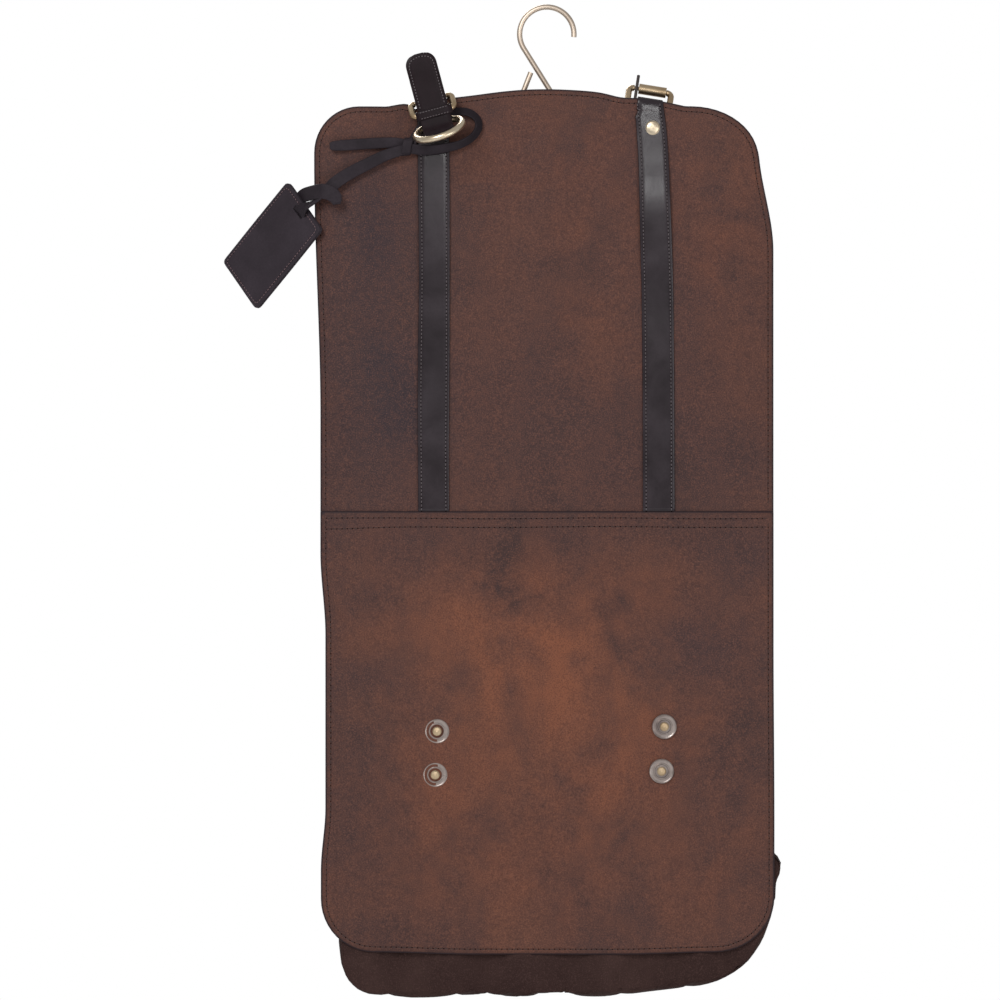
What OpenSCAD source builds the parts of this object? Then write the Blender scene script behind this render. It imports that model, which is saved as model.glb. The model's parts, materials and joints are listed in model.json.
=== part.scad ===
// Folding garment bag: leather front over a zipped canvas body, on a swivelling wire hook.
// Millimetres. +Z up, the leather front faces -Y, and the origin is the highest point of
// the hook's inner curve, in the plane of the hook.

/* [Bag] */
// Width of the leather front
bag_w = 500; // [480:5:520]
// Depth from the leather face to the canvas back
bag_d = 40; // [38:1:46]
// Height of the upper half, from the middle of the top edge down to the fold
upper_h = 478; // [440:2:500]
// Height of the lower leather panel, from the fold down
lower_h = 471; // [440:2:500]
// How far the canvas body hangs below the leather
pouch_drop = 44; // [30:2:60]
// Rise of the arched top edge above the shoulders
arch_rise = 18; // [12:1:20]
// Radius of the two shoulders
shoulder_r = 50; // [30:2:54]
// Radius of the two lower leather corners
corner_r = 62; // [40:2:70]
// Thickness of the leather
leather_t = 2.5; // [2:0.1:2.6]
// Thickness of the canvas
canvas_t = 1.5; // [1:0.1:1.6]

/* [Straps] */
// Width of the two front straps
strap_w = 34; // [30:1:34]
// Thickness of the strap leather
strap_t = 2.5; // [2:0.1:2.5]
// Distance of the left strap from the middle
left_x = 125; // [120:1:128]
// Distance of the right strap's foot from the middle
right_x = 122.5; // [120:0.5:128]

/* [Hook] */
// Diameter of the hook wire
wire_d = 6; // [5:0.5:6]
// Inner radius of the hook's curve
hook_r = 27; // [25:1:28]
// Height of the hook's curve above the bag's top edge
hook_rise = 92; // [90:1:96]

/* [Snap studs] */
// Diameter of a stud's base plate
stud_d = 27; // [24:1:30]
// Diameter of a stud's post
post_d = 6; // [5:0.5:6]

/* [Tag] */
// Length of the luggage tag
tag_l = 123; // [115:1:125]
// Width of the luggage tag
tag_w = 77; // [70:1:78]

/* [Hidden] */
$fn = 48;

// colours
brown = "#5c4036";
dark = "#2e2826";
canvas = "#3a2d2b";
brass = "#b09468";
steel = "#a8a29a";

// planes of the bag, front to back; the hook's plane is y = 0
hook_gap = 6.5;
rear_y = -hook_gap;
front_y = rear_y - bag_d;
lining_t = 0.8;
lining_y = front_y + leather_t;
gusset_y = lining_y + lining_t;
lap_y = front_y - leather_t;
pouch_y = front_y + 4;
back_y = rear_y - canvas_t;

// heights; the seam is where the lower leather's edge laps over the upper leather
top_z = -hook_rise;
shoulder_z = top_z - arch_rise;
fold_z = top_z - upper_h;
fold_gap = 0.5;
seam_z = fold_z + 15;
hem_z = fold_z - lower_h;
pouch_z = hem_z - pouch_drop;
arch_half = 140;
arch_r = (arch_half * arch_half + arch_rise * arch_rise) / (2 * arch_rise);
arch_a = asin(arch_half / arch_r);
side_inset = 5;
lip = 16;
pouch_r = 75;

// the zip up the middle of the back
zip_half = 7;
tape_half = 16;
chain_half = 3.5;
upper_zip_top = -190;
lower_zip_foot = hem_z + 1;
chain_end = 10;
slider_l = 26;
slider_rest = slider_l / 2 + 6;
slider_half = 6.5;
pull_bar = [rear_y + 4.6, 7];

// hook wire
wire_r = wire_d / 2;
bend_r = hook_r + wire_r;
hook_c = [0, -hook_r];
hook_tip_a = -6;
hook_end_a = 212;
hook_base_z = top_z - 18.5;
leg_foot_x = -33.6;
leg_top = [-17.8, top_z + 22.2];
hook_fillet = 6;
tab_x = -8.4;
tab_w = 28;
tab_t = 4.4;
tab_foot = -165;

// buckles
bar_half = 17.8;
bar_r = 2.2;
frame_r = 3.4;
frame_bend = 5.5;
frame_l = 24;
roller_r = 5.75;
roller_x = [-12.9, 17.5];
prong_x = -15.4;
prong_w = 3.6;
prong_l = 38;
prong_r = 1.7;
right_heel = [right_x - 11.2, front_y + 7.2, -108];
right_roll = 9;
right_tilt = -42;
right_lean = -1.4;
left_heel = [-left_x - 3, front_y - 6.3, -102];
left_roll = -15;
left_tilt = 128;
closure_w = 35;
ring_r = 26.5;
ring_pivot = [0, 2.4, -11.6];
ring_turn = [20, -4, 0];
ring_wire = 3.8;
keeper_t = 1.5;
keeper_back = -9.9;

// snap studs, as [x, z]
studs = [[-121, -796], [-123, -844], [129, -791], [126, -840]];
post_r = post_d / 2;

// lace and tag
lace_w = 13;
lace_t = 2.4;
knot = [-156, -153.5];
tag_c = [-304, front_y + 34.2, -260.9];
tag_turn = [-9.15, 44.2, -46.5];
tag_t = 2;

// ---- shapes and places that several parts share ----

function unit(v) = v / norm(v);

// points along an arc about c, from angle a0 to a1
function arc(c, r, a0, a1, n = 10) =
    [for (i = [0 : n]) let (a = a0 + (a1 - a0) * i / n) c + r * [cos(a), sin(a)]];

// outline of a rectangle with round corners
function round_rect(x0, x1, y0, y1, r, n = 4) = concat(
    arc([x1 - r, y1 - r], r, 0, 90, n), arc([x0 + r, y1 - r], r, 90, 180, n),
    arc([x0 + r, y0 + r], r, 180, 270, n), arc([x1 - r, y0 + r], r, 270, 360, n));

// point i of the polyline p, moved w to its left
function beside(p, i, w) =
    let (d = unit(p[min(i + 1, len(p) - 1)] - p[max(i - 1, 0)]))
    p[i] + w * [-d[1], d[0]];

// points along a curve from a to c that bends towards b
function bend3(a, b, c, n = 8) =
    [for (i = [0 : n]) let (t = i / n) (1 - t) * (1 - t) * a + 2 * t * (1 - t) * b + t * t * c];

// an X-Z shape, standing between two Y planes
module slab(y0, y1)
    translate([0, y1, 0]) rotate([90, 0, 0]) linear_extrude(y1 - y0) children();

// a Y-Z shape, spread along X about the middle
module across(w)
    rotate([90, 0, 90]) linear_extrude(w, center = true) children();

// local frame: rolled in the plane of the bag, then tilted forwards
module at(p, roll = 0, tilt = 0)
    translate(p) rotate([0, roll, 0]) rotate([tilt, 0, 0]) children();

// local +Z out of the front face, at height y, or out of the back
module out_front(p, y) translate([p[0], y, p[1]]) rotate([90, 0, 0]) children();
module out_back(p, y) translate([p[0], y, p[1]]) rotate([-90, 0, 0]) children();

// a band of the X-Z polyline p
module ribbon(p, w, y0, y1)
    slab(y0, y1) polygon(concat(
        [for (i = [0 : len(p) - 1]) beside(p, i, w / 2)],
        [for (i = [len(p) - 1 : -1 : 0]) beside(p, i, -w / 2)]));

// straight round wire between two X-Z points
module rod(p, q, r) {
    d = q - p;
    translate([p[0], 0, p[1]]) rotate([0, 90 - atan2(d[1], d[0]), 0]) cylinder(h = norm(d), r = r);
}

// round wire bent about c in the X-Z plane
module bent_rod(c, r_bend, a0, a1, r)
    translate([c[0], 0, c[1]]) rotate([90, 0, 0]) rotate([0, 0, a0])
        rotate_extrude(angle = a1 - a0) translate([r_bend, 0]) circle(r);

// outline of the upper half, inset at its sides and top
module upper_shape(side = 0, top = 0) {
    half = bag_w / 2 - side;
    r = shoulder_r - side;
    polygon(concat(
        [[-half, fold_z + fold_gap], [half, fold_z + fold_gap]],
        arc([half - r, shoulder_z - top - r], r, 0, 90),
        arc([0, top_z - top - arch_r], arch_r, 90 - arch_a, 90 + arch_a, 16),
        arc([-half + r, shoulder_z - top - r], r, 90, 180)));
}

// outline of the lower half, from z_top down to z_foot
module lower_shape(half, z_top, z_foot, r)
    polygon(concat(
        [[half, z_top], [-half, z_top]],
        arc([-half + r, z_foot + r], r, 180, 270, 12),
        arc([half - r, z_foot + r], r, 270, 360, 12)));

module pouch_shape(inset = 0)
    lower_shape(bag_w / 2 - side_inset - inset, fold_z - fold_gap, pouch_z + inset, pouch_r - inset);

// ---- upper half ----

strap_rivet_at = [[-left_x, -132], [right_x - 6.2, -132.5]];
tab_rivet_at = [[tab_x, -135], [tab_x, -155]];
rivet_r = 1.5;

module rivet_holes(places, y)
    for (p = places) out_back(p, y) cylinder(h = 20, r = rivet_r + 0.1);

module upper_leather() {
    color(brown) difference() {
        slab(front_y, lining_y) upper_shape();
        rivet_holes(strap_rivet_at, front_y - 1);
    }
}

module upper_lining() {
    color(canvas) difference() {
        slab(lining_y, gusset_y) upper_shape(side_inset, lip);
        rivet_holes(strap_rivet_at, front_y - 1);
    }
}

module upper_gusset() {
    color(canvas) slab(gusset_y, back_y) difference() {
        upper_shape(side_inset, lip);
        translate([0, -1]) intersection() {
            upper_shape(side_inset + canvas_t, lip + canvas_t - 1);
            translate([0, fold_z / 2]) square([2 * bag_w, -2 * fold_z], center = true);
        }
    }
}

module upper_back() {
    color(canvas) difference() {
        slab(back_y, rear_y) upper_shape(side_inset, lip);
        slab(back_y - 1, rear_y + 1)
            translate([-zip_half, fold_z - 1]) square([2 * zip_half, upper_zip_top + 5 - fold_z]);
        rivet_holes(tab_rivet_at, back_y - 3);
    }
}

// stiff board inside the back, under the hook tab
module top_stiffener() {
    color("#6b5a48") difference() {
        slab(back_y - 2.1, back_y - 0.1) polygon(round_rect(-120, 120, -175, -126, 12));
        rivet_holes(tab_rivet_at, back_y - 3);
    }
}

// webbing loop that takes the clothes hangers' hooks
module hanger_loop() {
    mid = (gusset_y + back_y) / 2;
    head = top_z - lip - canvas_t - 0.3;
    color(dark) translate([0, mid, 0]) across(25) difference() {
        polygon(round_rect(-9, 9, head - 44, head, 6));
        polygon(round_rect(-7.4, 7.4, head - 42.4, head - 1.6, 4.8));
    }
}

// ---- hook ----

// a straight of the wire, a hair thinner than the bends that it runs into at both ends
module straight(p, q) {
    way = 0.5 * unit(q - p);
    rod(p - way, q + way, wire_r - 0.05);
}

module hook() {
    start = hook_c + bend_r * [cos(hook_end_a), sin(hook_end_a)];
    way = [-sin(hook_end_a), cos(hook_end_a)];
    heel = start + way * (start[1] - hook_base_z) / -way[1];
    toe = [leg_foot_x, hook_base_z];
    rise = unit(leg_top - toe);
    heel_turn = 90 - atan2(-way[1], way[0]) / 2;
    toe_turn = 90 - atan2(rise[1], rise[0]) / 2;
    heel_cut = hook_fillet * tan(heel_turn);
    toe_cut = hook_fillet * tan(toe_turn);
    color(brass) {
        bent_rod(hook_c, bend_r, hook_tip_a, hook_end_a, wire_r);
        straight(start, heel - way * heel_cut);
        bent_rod(heel + [-heel_cut, hook_fillet], hook_fillet, -90, -90 + 2 * heel_turn, wire_r);
        straight(heel - [heel_cut, 0], toe + [toe_cut, 0]);
        bent_rod(toe + [toe_cut, hook_fillet], hook_fillet, -90 - 2 * toe_turn, -90, wire_r);
        straight(toe + rise * toe_cut, leg_top);
    }
}

// leather tab, folded round the hook's base and riveted to the back
module hook_tab() {
    bore = wire_r + 0.3;
    color(dark) difference() {
        translate([tab_x, 0, 0]) across(tab_w) difference() {
            union() {
                translate([0, hook_base_z]) circle(bore + 2.2);
                translate([rear_y + 0.2, tab_foot]) square([tab_t, hook_base_z - 2.5 - tab_foot]);
            }
            translate([0, hook_base_z]) circle(bore);
        }
        rivet_holes(tab_rivet_at, back_y);
    }
}

// rivet with a domed head of radius r and a shank of length l below it
module rivet(r, dome, l)
    rotate_extrude() polygon([[0, -l], [rivet_r, -l], [rivet_r, 0], [r, 0], [r, dome * 0.35],
        [r * 0.8, dome * 0.75], [r * 0.45, dome * 0.95], [0, dome]]);

module burr(r)
    difference() {
        cylinder(h = 1.2, r = r);
        translate([0, 0, -1]) cylinder(h = 4, r = rivet_r + 0.02);
    }

module tab_rivets() {
    color(brass) for (p = tab_rivet_at) out_back(p, rear_y + 4.6) rivet(4.5, 1.6, 9.6);
}

module tab_burrs() {
    color(brass) for (p = tab_rivet_at) out_front(p, back_y - 2.2) burr(4);
}

// ---- front straps ----

module left_strap() {
    top = -92.5;
    color(dark) difference() {
        union() {
            slab(front_y - strap_t, front_y)
                translate([-left_x - strap_w / 2, seam_z + 0.5])
                    square([strap_w, top - 10 - seam_z]);
            translate([-left_x - 0.8, front_y, 0]) across(27.2) difference() {
                polygon(round_rect(-11.8, 0, top - 20, top, 2.4));
                polygon(round_rect(-9.3, -strap_t, top - 17.5, top - 2.5, 1.5));
            }
        }
        at(left_heel, left_roll) translate([-28, -12, -5.5]) cube([28 - 13.2, 24, 40]);
        rivet_holes(strap_rivet_at, front_y - strap_t - 1);
    }
}

module right_strap() {
    skin_gap = 0.02;
    u_front = front_y - strap_t - right_heel[1];
    u_back = 7.1;
    u_top = 8.6;
    color(dark) difference() {
        union() {
            translate([right_x, 0, seam_z + 0.5]) rotate([0, right_lean, 0])
                slab(front_y - strap_t, front_y - skin_gap)
                    translate([-strap_w / 2, 0.6]) square([strap_w, -106 - seam_z]);
            at(right_heel, right_roll) across(strap_w) difference() {
                polygon(round_rect(u_front, u_back, -30, u_top, 2.6));
                polygon(round_rect(u_front + strap_t - skin_gap, u_back - strap_t, -40, u_top - strap_t, 0.6));
                translate([u_front + strap_t - 0.2, -40]) square([20, 31]);
                translate([u_front - 5, -40]) square([20, 24]);
            }
        }
        at(right_heel, right_roll) translate([-28, u_front + strap_t, -7]) cube([28 - 13.2, 24, 30]);
        at(right_heel, right_roll) translate([-28, u_front - 2, 4]) cube([28 - 13.2, 24, 30]);
        rivet_holes(strap_rivet_at, front_y - strap_t - 1);
    }
}

module strap_rivets() {
    color(brass) for (p = strap_rivet_at)
        out_front(p, front_y - strap_t) rivet(7.9, 3, strap_t + leather_t + lining_t + 1.1);
}

module strap_burrs() {
    color(brass) for (p = strap_rivet_at) out_back(p, gusset_y) burr(5);
}

// ---- roller buckles; the bar is the local X axis and the roller is at local z = frame_l ----

module buckle_frame() {
    side = bar_half + frame_bend;
    rod([-bar_half, 0], [bar_half, 0], bar_r);
    rod([-bar_half, frame_l], [bar_half, frame_l], bar_r);
    for (s = [-1, 1]) {
        rod([s * side, frame_bend], [s * side, frame_l - frame_bend], frame_r);
        mirror([s < 0 ? 1 : 0, 0, 0]) {
            bent_rod([bar_half, frame_bend], frame_bend, -90, 0, frame_r);
            bent_rod([bar_half, frame_l - frame_bend], frame_bend, 0, 90, frame_r);
        }
    }
}

module buckle_roller()
    translate([roller_x[0], 0, frame_l]) rotate([0, 90, 0]) difference() {
        cylinder(h = roller_x[1] - roller_x[0], r = roller_r);
        translate([0, 0, -1]) cylinder(h = 60, r = bar_r + 0.3);
    }

module buckle_prong() {
    translate([prong_x - prong_w / 2, 0, 0]) rotate([0, 90, 0]) difference() {
        union() {
            cylinder(h = prong_w, r = 4.2);
            translate([-prong_l, 0, prong_w / 2]) rotate([0, 90, 0])
                cylinder(h = prong_l - 3, r = prong_r);
        }
        translate([0, 0, -1]) cylinder(h = 10, r = bar_r + 0.2);
    }
}

module left_buckle_frame() color(brass) at(left_heel, left_roll, left_tilt) buckle_frame();
module left_roller() color(brass) at(left_heel, left_roll, left_tilt) buckle_roller();
module left_prong() color(steel) at(left_heel, left_roll, left_tilt - 175) buckle_prong();
module right_buckle_frame() color(brass) at(right_heel, right_roll, right_tilt) buckle_frame();
module right_roller() color(brass) at(right_heel, right_roll, right_tilt) buckle_roller();
module right_prong() color(steel) at(right_heel, right_roll, right_tilt + 9.8) buckle_prong();

// ---- closure strap, on the left buckle's roller ----

left_axle = left_heel
    + frame_l * [cos(left_tilt) * sin(left_roll), -sin(left_tilt), cos(left_tilt) * cos(left_roll)];
tip_h = 66;
tip_r = 12;
loop_foot = -26.5;

module closure_strap() {
    half = closure_w / 2;
    color(dark) at(left_axle, left_roll) {
        across(closure_w) difference() {
            polygon(round_rect(-13, 9, loop_foot, 9, 6));
            polygon(round_rect(-10.4, 6.4, loop_foot + 2.6, 6.4, 4));
        }
        slab(-13, -10.4) polygon(concat([[-half, -5], [half, -5]],
            arc([half - 2 - tip_r, tip_h - tip_r], tip_r, 0, 90, 6),
            arc([-half + 2 + tip_r, tip_h - tip_r], tip_r, 90, 180, 6)));
    }
}

module closure_keeper() {
    half = closure_w / 2;
    color(dark) at(left_axle, left_roll) slab(-13.1 - keeper_t, keeper_back + keeper_t)
        difference() {
            translate([-half - 0.2 - keeper_t, -6]) square([closure_w + 0.4 + 2 * keeper_t, 10]);
            translate([-half - 0.2, -7]) square([closure_w + 0.4, 12]);
        }
    color(dark) at(left_axle, left_roll) {
        slab(-13.1 - keeper_t, -13.1)
            translate([-half - 1, -6]) square([closure_w + 2, 10]);
        slab(keeper_back, keeper_back + keeper_t)
            translate([-half - 1, -6]) square([closure_w + 2, 10]);
    }
}

// socket halves of two snaps, on the strap's inner face
module closure_snaps() {
    color(brass) at(left_axle, left_roll) for (z = [28, 52]) out_back([0, z], -10.4)
        difference() {
            cylinder(h = 2.2, r = 8);
            translate([0, 0, 0.8]) cylinder(h = 4, r = post_r + 2);
        }
}

module o_ring() {
    color(brass) at(left_axle, left_roll) translate(ring_pivot) rotate(ring_turn)
        translate([0, -ring_r, 0]) rotate_extrude() translate([ring_r, 0]) circle(ring_wire);
}

// ---- lace and luggage tag ----

module lace_loop() {
    color(dark) ribbon([[-98, -114], [-76, -125], [-84, -142.5], [-107, -151], [-134, -156], knot],
        lace_w, front_y - 7, front_y - 7 + lace_t);
}

module lace_tail() {
    color(dark) ribbon([[-152, -151], [-195, -150], [-238, -151]],
        lace_w, front_y - 4, front_y - 4 + lace_t);
}

module lace_run() {
    color(dark) ribbon(bend3([-158, -156], [-215, -165], [-262, -222]),
        lace_w, front_y - 9.8, front_y - 9.8 + lace_t);
}

tag_hole_z = tag_l / 2 - 11;

module tag_sheet(y0, y1, inset = 0)
    translate(tag_c) rotate(tag_turn) slab(y0, y1) difference() {
        polygon(round_rect(-tag_w / 2 + inset, tag_w / 2 - inset,
            -tag_l / 2 + inset, tag_l / 2 - inset, 3));
        polygon(round_rect(-9, 9, tag_hole_z - 2.5, tag_hole_z + 2.5, 2.4));
    }

module tag_front() color(dark) tag_sheet(0, tag_t);
module tag_card() color("#e8e2d2")
    translate(tag_c) rotate(tag_turn) slab(tag_t, tag_t + 0.5)
        polygon(round_rect(-28, 28, -50, 36, 2));
module tag_window() color("#dfe6ea")
    translate(tag_c) rotate(tag_turn) slab(tag_t + 0.5, tag_t + 1)
        polygon(round_rect(-30, 30, -52, 38, 2));
module tag_back() {
    color(dark) difference() {
        tag_sheet(tag_t + 1, 2 * tag_t + 1);
        translate(tag_c) rotate(tag_turn) slab(tag_t, 3 * tag_t + 1)
            polygon(round_rect(-24, 24, -46, 30, 2));
    }
}

// ---- lower half ----

module lower_leather() {
    color(brown) difference() {
        slab(lap_y, front_y) lower_shape(bag_w / 2, seam_z, hem_z, corner_r);
        for (p = studs) out_back(p, lap_y - 1) cylinder(h = 10, r = post_r + 0.1);
    }
}

module lower_front_canvas() color(canvas) slab(pouch_y, pouch_y + canvas_t) pouch_shape();

module lower_gusset() {
    color(canvas) slab(pouch_y + canvas_t, back_y) difference() {
        pouch_shape();
        translate([0, 1]) pouch_shape(canvas_t);
        translate([0, -1]) intersection() {
            pouch_shape(canvas_t);
            translate([0, fold_z - 30]) square([2 * bag_w, 100], center = true);
        }
    }
}

module lower_back() {
    color(canvas) difference() {
        slab(back_y, rear_y) pouch_shape();
        slab(back_y - 1, rear_y + 1) translate([-zip_half, lower_zip_foot - 5])
            square([2 * zip_half, fold_z - lower_zip_foot + 6]);
    }
}

module stud_bases() {
    r = stud_d / 2;
    b = post_r + 0.05;
    color(brass) for (p = studs) out_front(p, lap_y) rotate_extrude()
        polygon([[b, 0], [r, 0], [r, 1.4], [r - 0.9, 2.2], [r - 1.9, 1.7], [r - 4.3, 1.7],
            [r - 4.9, 2.4], [r - 5.9, 2.4], [r - 6.5, 1.2], [b, 1.2]]);
}

module stud_posts() {
    back = leather_t + 1;
    color(brass) for (p = studs) out_front(p, lap_y) rotate_extrude()
        polygon([[0, -back], [post_r, -back], [post_r, 2.8], [post_r + 1.9, 3.3],
            [post_r + 1.9, 4.8], [post_r + 0.7, 5.8], [0, 6.2]]);
}

module stud_backings() {
    color(steel) for (p = studs) out_back(p, front_y) difference() {
        cylinder(h = 1, r = 9);
        translate([0, 0, -1]) cylinder(h = 3, r = post_r + 0.05);
    }
}

// ---- zips ----

// the two tapes, between heights z0 and z1
module zip_tapes(z0, z1)
    for (s = [-1, 1]) slab(back_y - 0.8, back_y)
        translate([s > 0 ? chain_half + 0.1 : -tape_half, z0])
            square([tape_half - chain_half - 0.1, z1 - z0]);

module zip_chain(z0, z1)
    slab(rear_y - 2.7, rear_y + 0.3) translate([-chain_half, z0])
        square([2 * chain_half, z1 - z0]);

module zip_stop(z)
    slab(rear_y - 2.9, rear_y + 0.5) polygon(round_rect(-5, 5, z - 2, z + 2, 0.8));

// slider centred at height z, with the bar that holds its pull
module zip_slider(z) {
    l = slider_l / 2;
    w = slider_half;
    for (y = [rear_y - 5.2, rear_y + 0.6]) slab(y, y + 1.8)
        polygon([[-w * 0.6, z - l], [w * 0.6, z - l], [w, z - l * 0.2], [w, z + l * 0.7],
            [w * 0.6, z + l], [-w * 0.6, z + l], [-w, z + l * 0.7], [-w, z - l * 0.2]]);
    for (s = [-1, 1]) translate([s * 4.6 - 0.5, rear_y + 2.3, z - pull_bar[1] - 1.3])
        cube([1, 3.4, 2.6]);
    translate([-4.6, pull_bar[0], z - pull_bar[1]]) rotate([0, 90, 0]) cylinder(h = 9.2, r = 0.9);
}

module zip_pull(z) {
    zb = z - pull_bar[1];
    difference() {
        union() {
            translate([-3.6, pull_bar[0], zb]) rotate([0, 90, 0]) cylinder(h = 7.2, r = 1.9);
            slab(pull_bar[0] - 0.7, pull_bar[0] + 0.7) difference() {
                polygon(concat([[-3.6, zb], [-4.5, zb - 10]],
                    arc([0, zb - 26], 5, 180, 360, 8), [[4.5, zb - 10], [3.6, zb]]));
                translate([0, zb - 26]) circle(2.2);
            }
        }
        translate([-10, pull_bar[0], zb]) rotate([0, 90, 0]) cylinder(h = 20, r = 1);
    }
}

upper_slider_z = upper_zip_top - slider_rest;
lower_slider_z = lower_zip_foot + slider_rest;

module upper_zip_tapes() color(dark) zip_tapes(fold_z + fold_gap, upper_zip_top);
module upper_zip_chain() color(brass) zip_chain(fold_z + chain_end, upper_zip_top);
module upper_zip_stop() color(brass) zip_stop(upper_zip_top + 2);
module upper_slider() color(brass) zip_slider(upper_slider_z);
module upper_pull() color(brass) zip_pull(upper_slider_z);
module lower_zip_tapes() color(dark) zip_tapes(lower_zip_foot, fold_z - fold_gap);
module lower_zip_chain() color(brass) zip_chain(lower_zip_foot, fold_z - chain_end);
module lower_zip_stop() color(brass) zip_stop(lower_zip_foot - 2);
module lower_slider() color(brass) zip_slider(lower_slider_z);
module lower_pull() color(brass) zip_pull(lower_slider_z);

upper_leather();
upper_lining();
upper_gusset();
upper_back();
top_stiffener();
hanger_loop();
hook();
hook_tab();
tab_rivets();
tab_burrs();
left_strap();
right_strap();
strap_rivets();
strap_burrs();
left_buckle_frame();
left_roller();
left_prong();
right_buckle_frame();
right_roller();
right_prong();
closure_strap();
closure_keeper();
closure_snaps();
o_ring();
lace_loop();
lace_tail();
lace_run();
tag_front();
tag_back();
tag_window();
tag_card();
lower_leather();
lower_front_canvas();
lower_gusset();
lower_back();
stud_bases();
stud_posts();
stud_backings();
upper_zip_tapes();
upper_zip_chain();
upper_zip_stop();
upper_slider();
upper_pull();
lower_zip_tapes();
lower_zip_chain();
lower_zip_stop();
lower_slider();
lower_pull();
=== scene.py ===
import json
import math

import bmesh
import bpy
import numpy as np
from mathutils import Euler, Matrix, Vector

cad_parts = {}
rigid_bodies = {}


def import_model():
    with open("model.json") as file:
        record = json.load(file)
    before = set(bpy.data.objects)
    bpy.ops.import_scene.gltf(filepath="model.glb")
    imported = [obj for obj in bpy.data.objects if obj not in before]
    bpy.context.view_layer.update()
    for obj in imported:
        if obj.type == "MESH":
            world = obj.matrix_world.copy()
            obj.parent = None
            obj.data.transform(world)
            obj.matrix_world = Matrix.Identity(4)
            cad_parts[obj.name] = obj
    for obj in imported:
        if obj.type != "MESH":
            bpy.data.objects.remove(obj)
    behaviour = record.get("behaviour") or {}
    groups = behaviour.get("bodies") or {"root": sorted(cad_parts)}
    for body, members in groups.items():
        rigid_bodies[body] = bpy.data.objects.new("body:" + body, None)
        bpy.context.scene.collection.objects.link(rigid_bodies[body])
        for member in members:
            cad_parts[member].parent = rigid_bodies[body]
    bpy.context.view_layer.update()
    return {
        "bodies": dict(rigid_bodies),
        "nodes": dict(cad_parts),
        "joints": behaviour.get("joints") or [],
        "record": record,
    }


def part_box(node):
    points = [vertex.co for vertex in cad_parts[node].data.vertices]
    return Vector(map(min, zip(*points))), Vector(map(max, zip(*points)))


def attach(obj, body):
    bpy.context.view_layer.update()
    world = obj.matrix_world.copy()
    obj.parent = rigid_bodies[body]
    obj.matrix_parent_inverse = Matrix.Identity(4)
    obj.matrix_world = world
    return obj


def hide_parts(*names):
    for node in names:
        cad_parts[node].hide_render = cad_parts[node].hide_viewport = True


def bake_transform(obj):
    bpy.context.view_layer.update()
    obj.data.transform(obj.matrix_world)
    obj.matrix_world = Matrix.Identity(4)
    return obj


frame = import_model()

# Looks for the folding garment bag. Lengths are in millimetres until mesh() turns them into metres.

MM = 0.001


def cad(node):
    """Lowest and highest corner of a CAD node, in millimetres."""
    lo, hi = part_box(node)
    return np.array(lo) / MM, np.array(hi) / MM


# ---- places taken from the CAD frame ----
LEATHER_LO, LEATHER_HI = cad("upper_leather")
LOWER_LO, LOWER_HI = cad("lower_leather")
POUCH_LO, POUCH_HI = cad("lower_gusset")
REAR_Y = cad("upper_back")[1][1]
HALF = LEATHER_HI[0]
TOP_Z = LEATHER_HI[2]
FRONT_Y = LEATHER_LO[1]
LAP_Y = LOWER_LO[1]
LEATHER_T = LEATHER_HI[1] - LEATHER_LO[1]
SEAM_Z = LOWER_HI[2]
HEM_Z = LOWER_LO[2]
POUCH_Z = POUCH_LO[2]
FOLD_Z = (LEATHER_LO[2] + POUCH_HI[2]) / 2
SHOULDER_Z = TOP_Z - 17.5
LIP = TOP_Z - cad("upper_gusset")[1][2]
ZIP_TOP = cad("upper_zip_chain")[1][2]
ZIP_FOOT = cad("lower_zip_chain")[0][2]
ZIP_Y = cad("upper_zip_chain")[1][1]
CHANNEL_TOP = round(ZIP_TOP)
CHANNEL_FOOT = round(ZIP_FOOT)
BOARD_FOOT = round(cad("top_stiffener")[0][2])
STRAP_T = 2.5
STRAP_HALF = 17.6
LEFT_STRAP_X = -124.5
CROWN_RISE = 1.6
ARCH_HALF = 168
# places where the top edge hangs lower: middle, width and depth
BUCKLE_SAGS = [(-82, 54, 3.8), (96, 18, 3.0)]
PRONG_DIP = (-134.6, 7.5, 8.0)
COLUMN_STEP = 4.2
TO_FRONT = (0, -1.0, 0)
TO_BACK = (0, 1.0, 0)
JOINTS = {j["name"]: j for j in frame["record"]["behaviour"]["joints"]}


def pivot(name):
    """Place of a hinge, in millimetres."""
    return np.array(JOINTS[name]["pos_m"]) / MM


def hinge_axis(name):
    return np.array(JOINTS[name]["axis"], float)


LEFT_BAR = pivot("left_buckle_swing")
LEFT_AXLE = pivot("closure_swing")
RIGHT_BAR = pivot("right_buckle_swing")
TAG_PIVOT = pivot("tag_swing")


# ---- small maths helpers ----

def ease(x, a, b):
    """0 before a and 1 after b, smooth between; works on numbers and arrays."""
    t = np.clip((x - a) / (b - a), 0.0, 1.0)
    return t * t * (3 - 2 * t)


def unit(v):
    v = np.asarray(v, float)
    return v / np.linalg.norm(v)


def spline(points, step):
    """A Catmull-Rom curve through the points, resampled about every step."""
    p = np.array(points, float)
    p = np.vstack([2 * p[0] - p[1], p, 2 * p[-1] - p[-2]])
    out = []
    for i in range(1, len(p) - 2):
        a, b, c, d = p[i - 1], p[i], p[i + 1], p[i + 2]
        n = max(2, int(np.linalg.norm(c - b) / step))
        for t in np.linspace(0, 1, n, endpoint=False):
            out.append(0.5 * (2 * b + (c - a) * t + (2 * a - 5 * b + 4 * c - d) * t * t
                              + (3 * b - a - 3 * c + d) * t ** 3))
    out.append(p[-2])
    return np.array(out)


def ring_spline(points, step):
    """The curve that comes back to its first point."""
    return spline(list(points) + [points[0]], step)[:-1]


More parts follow.
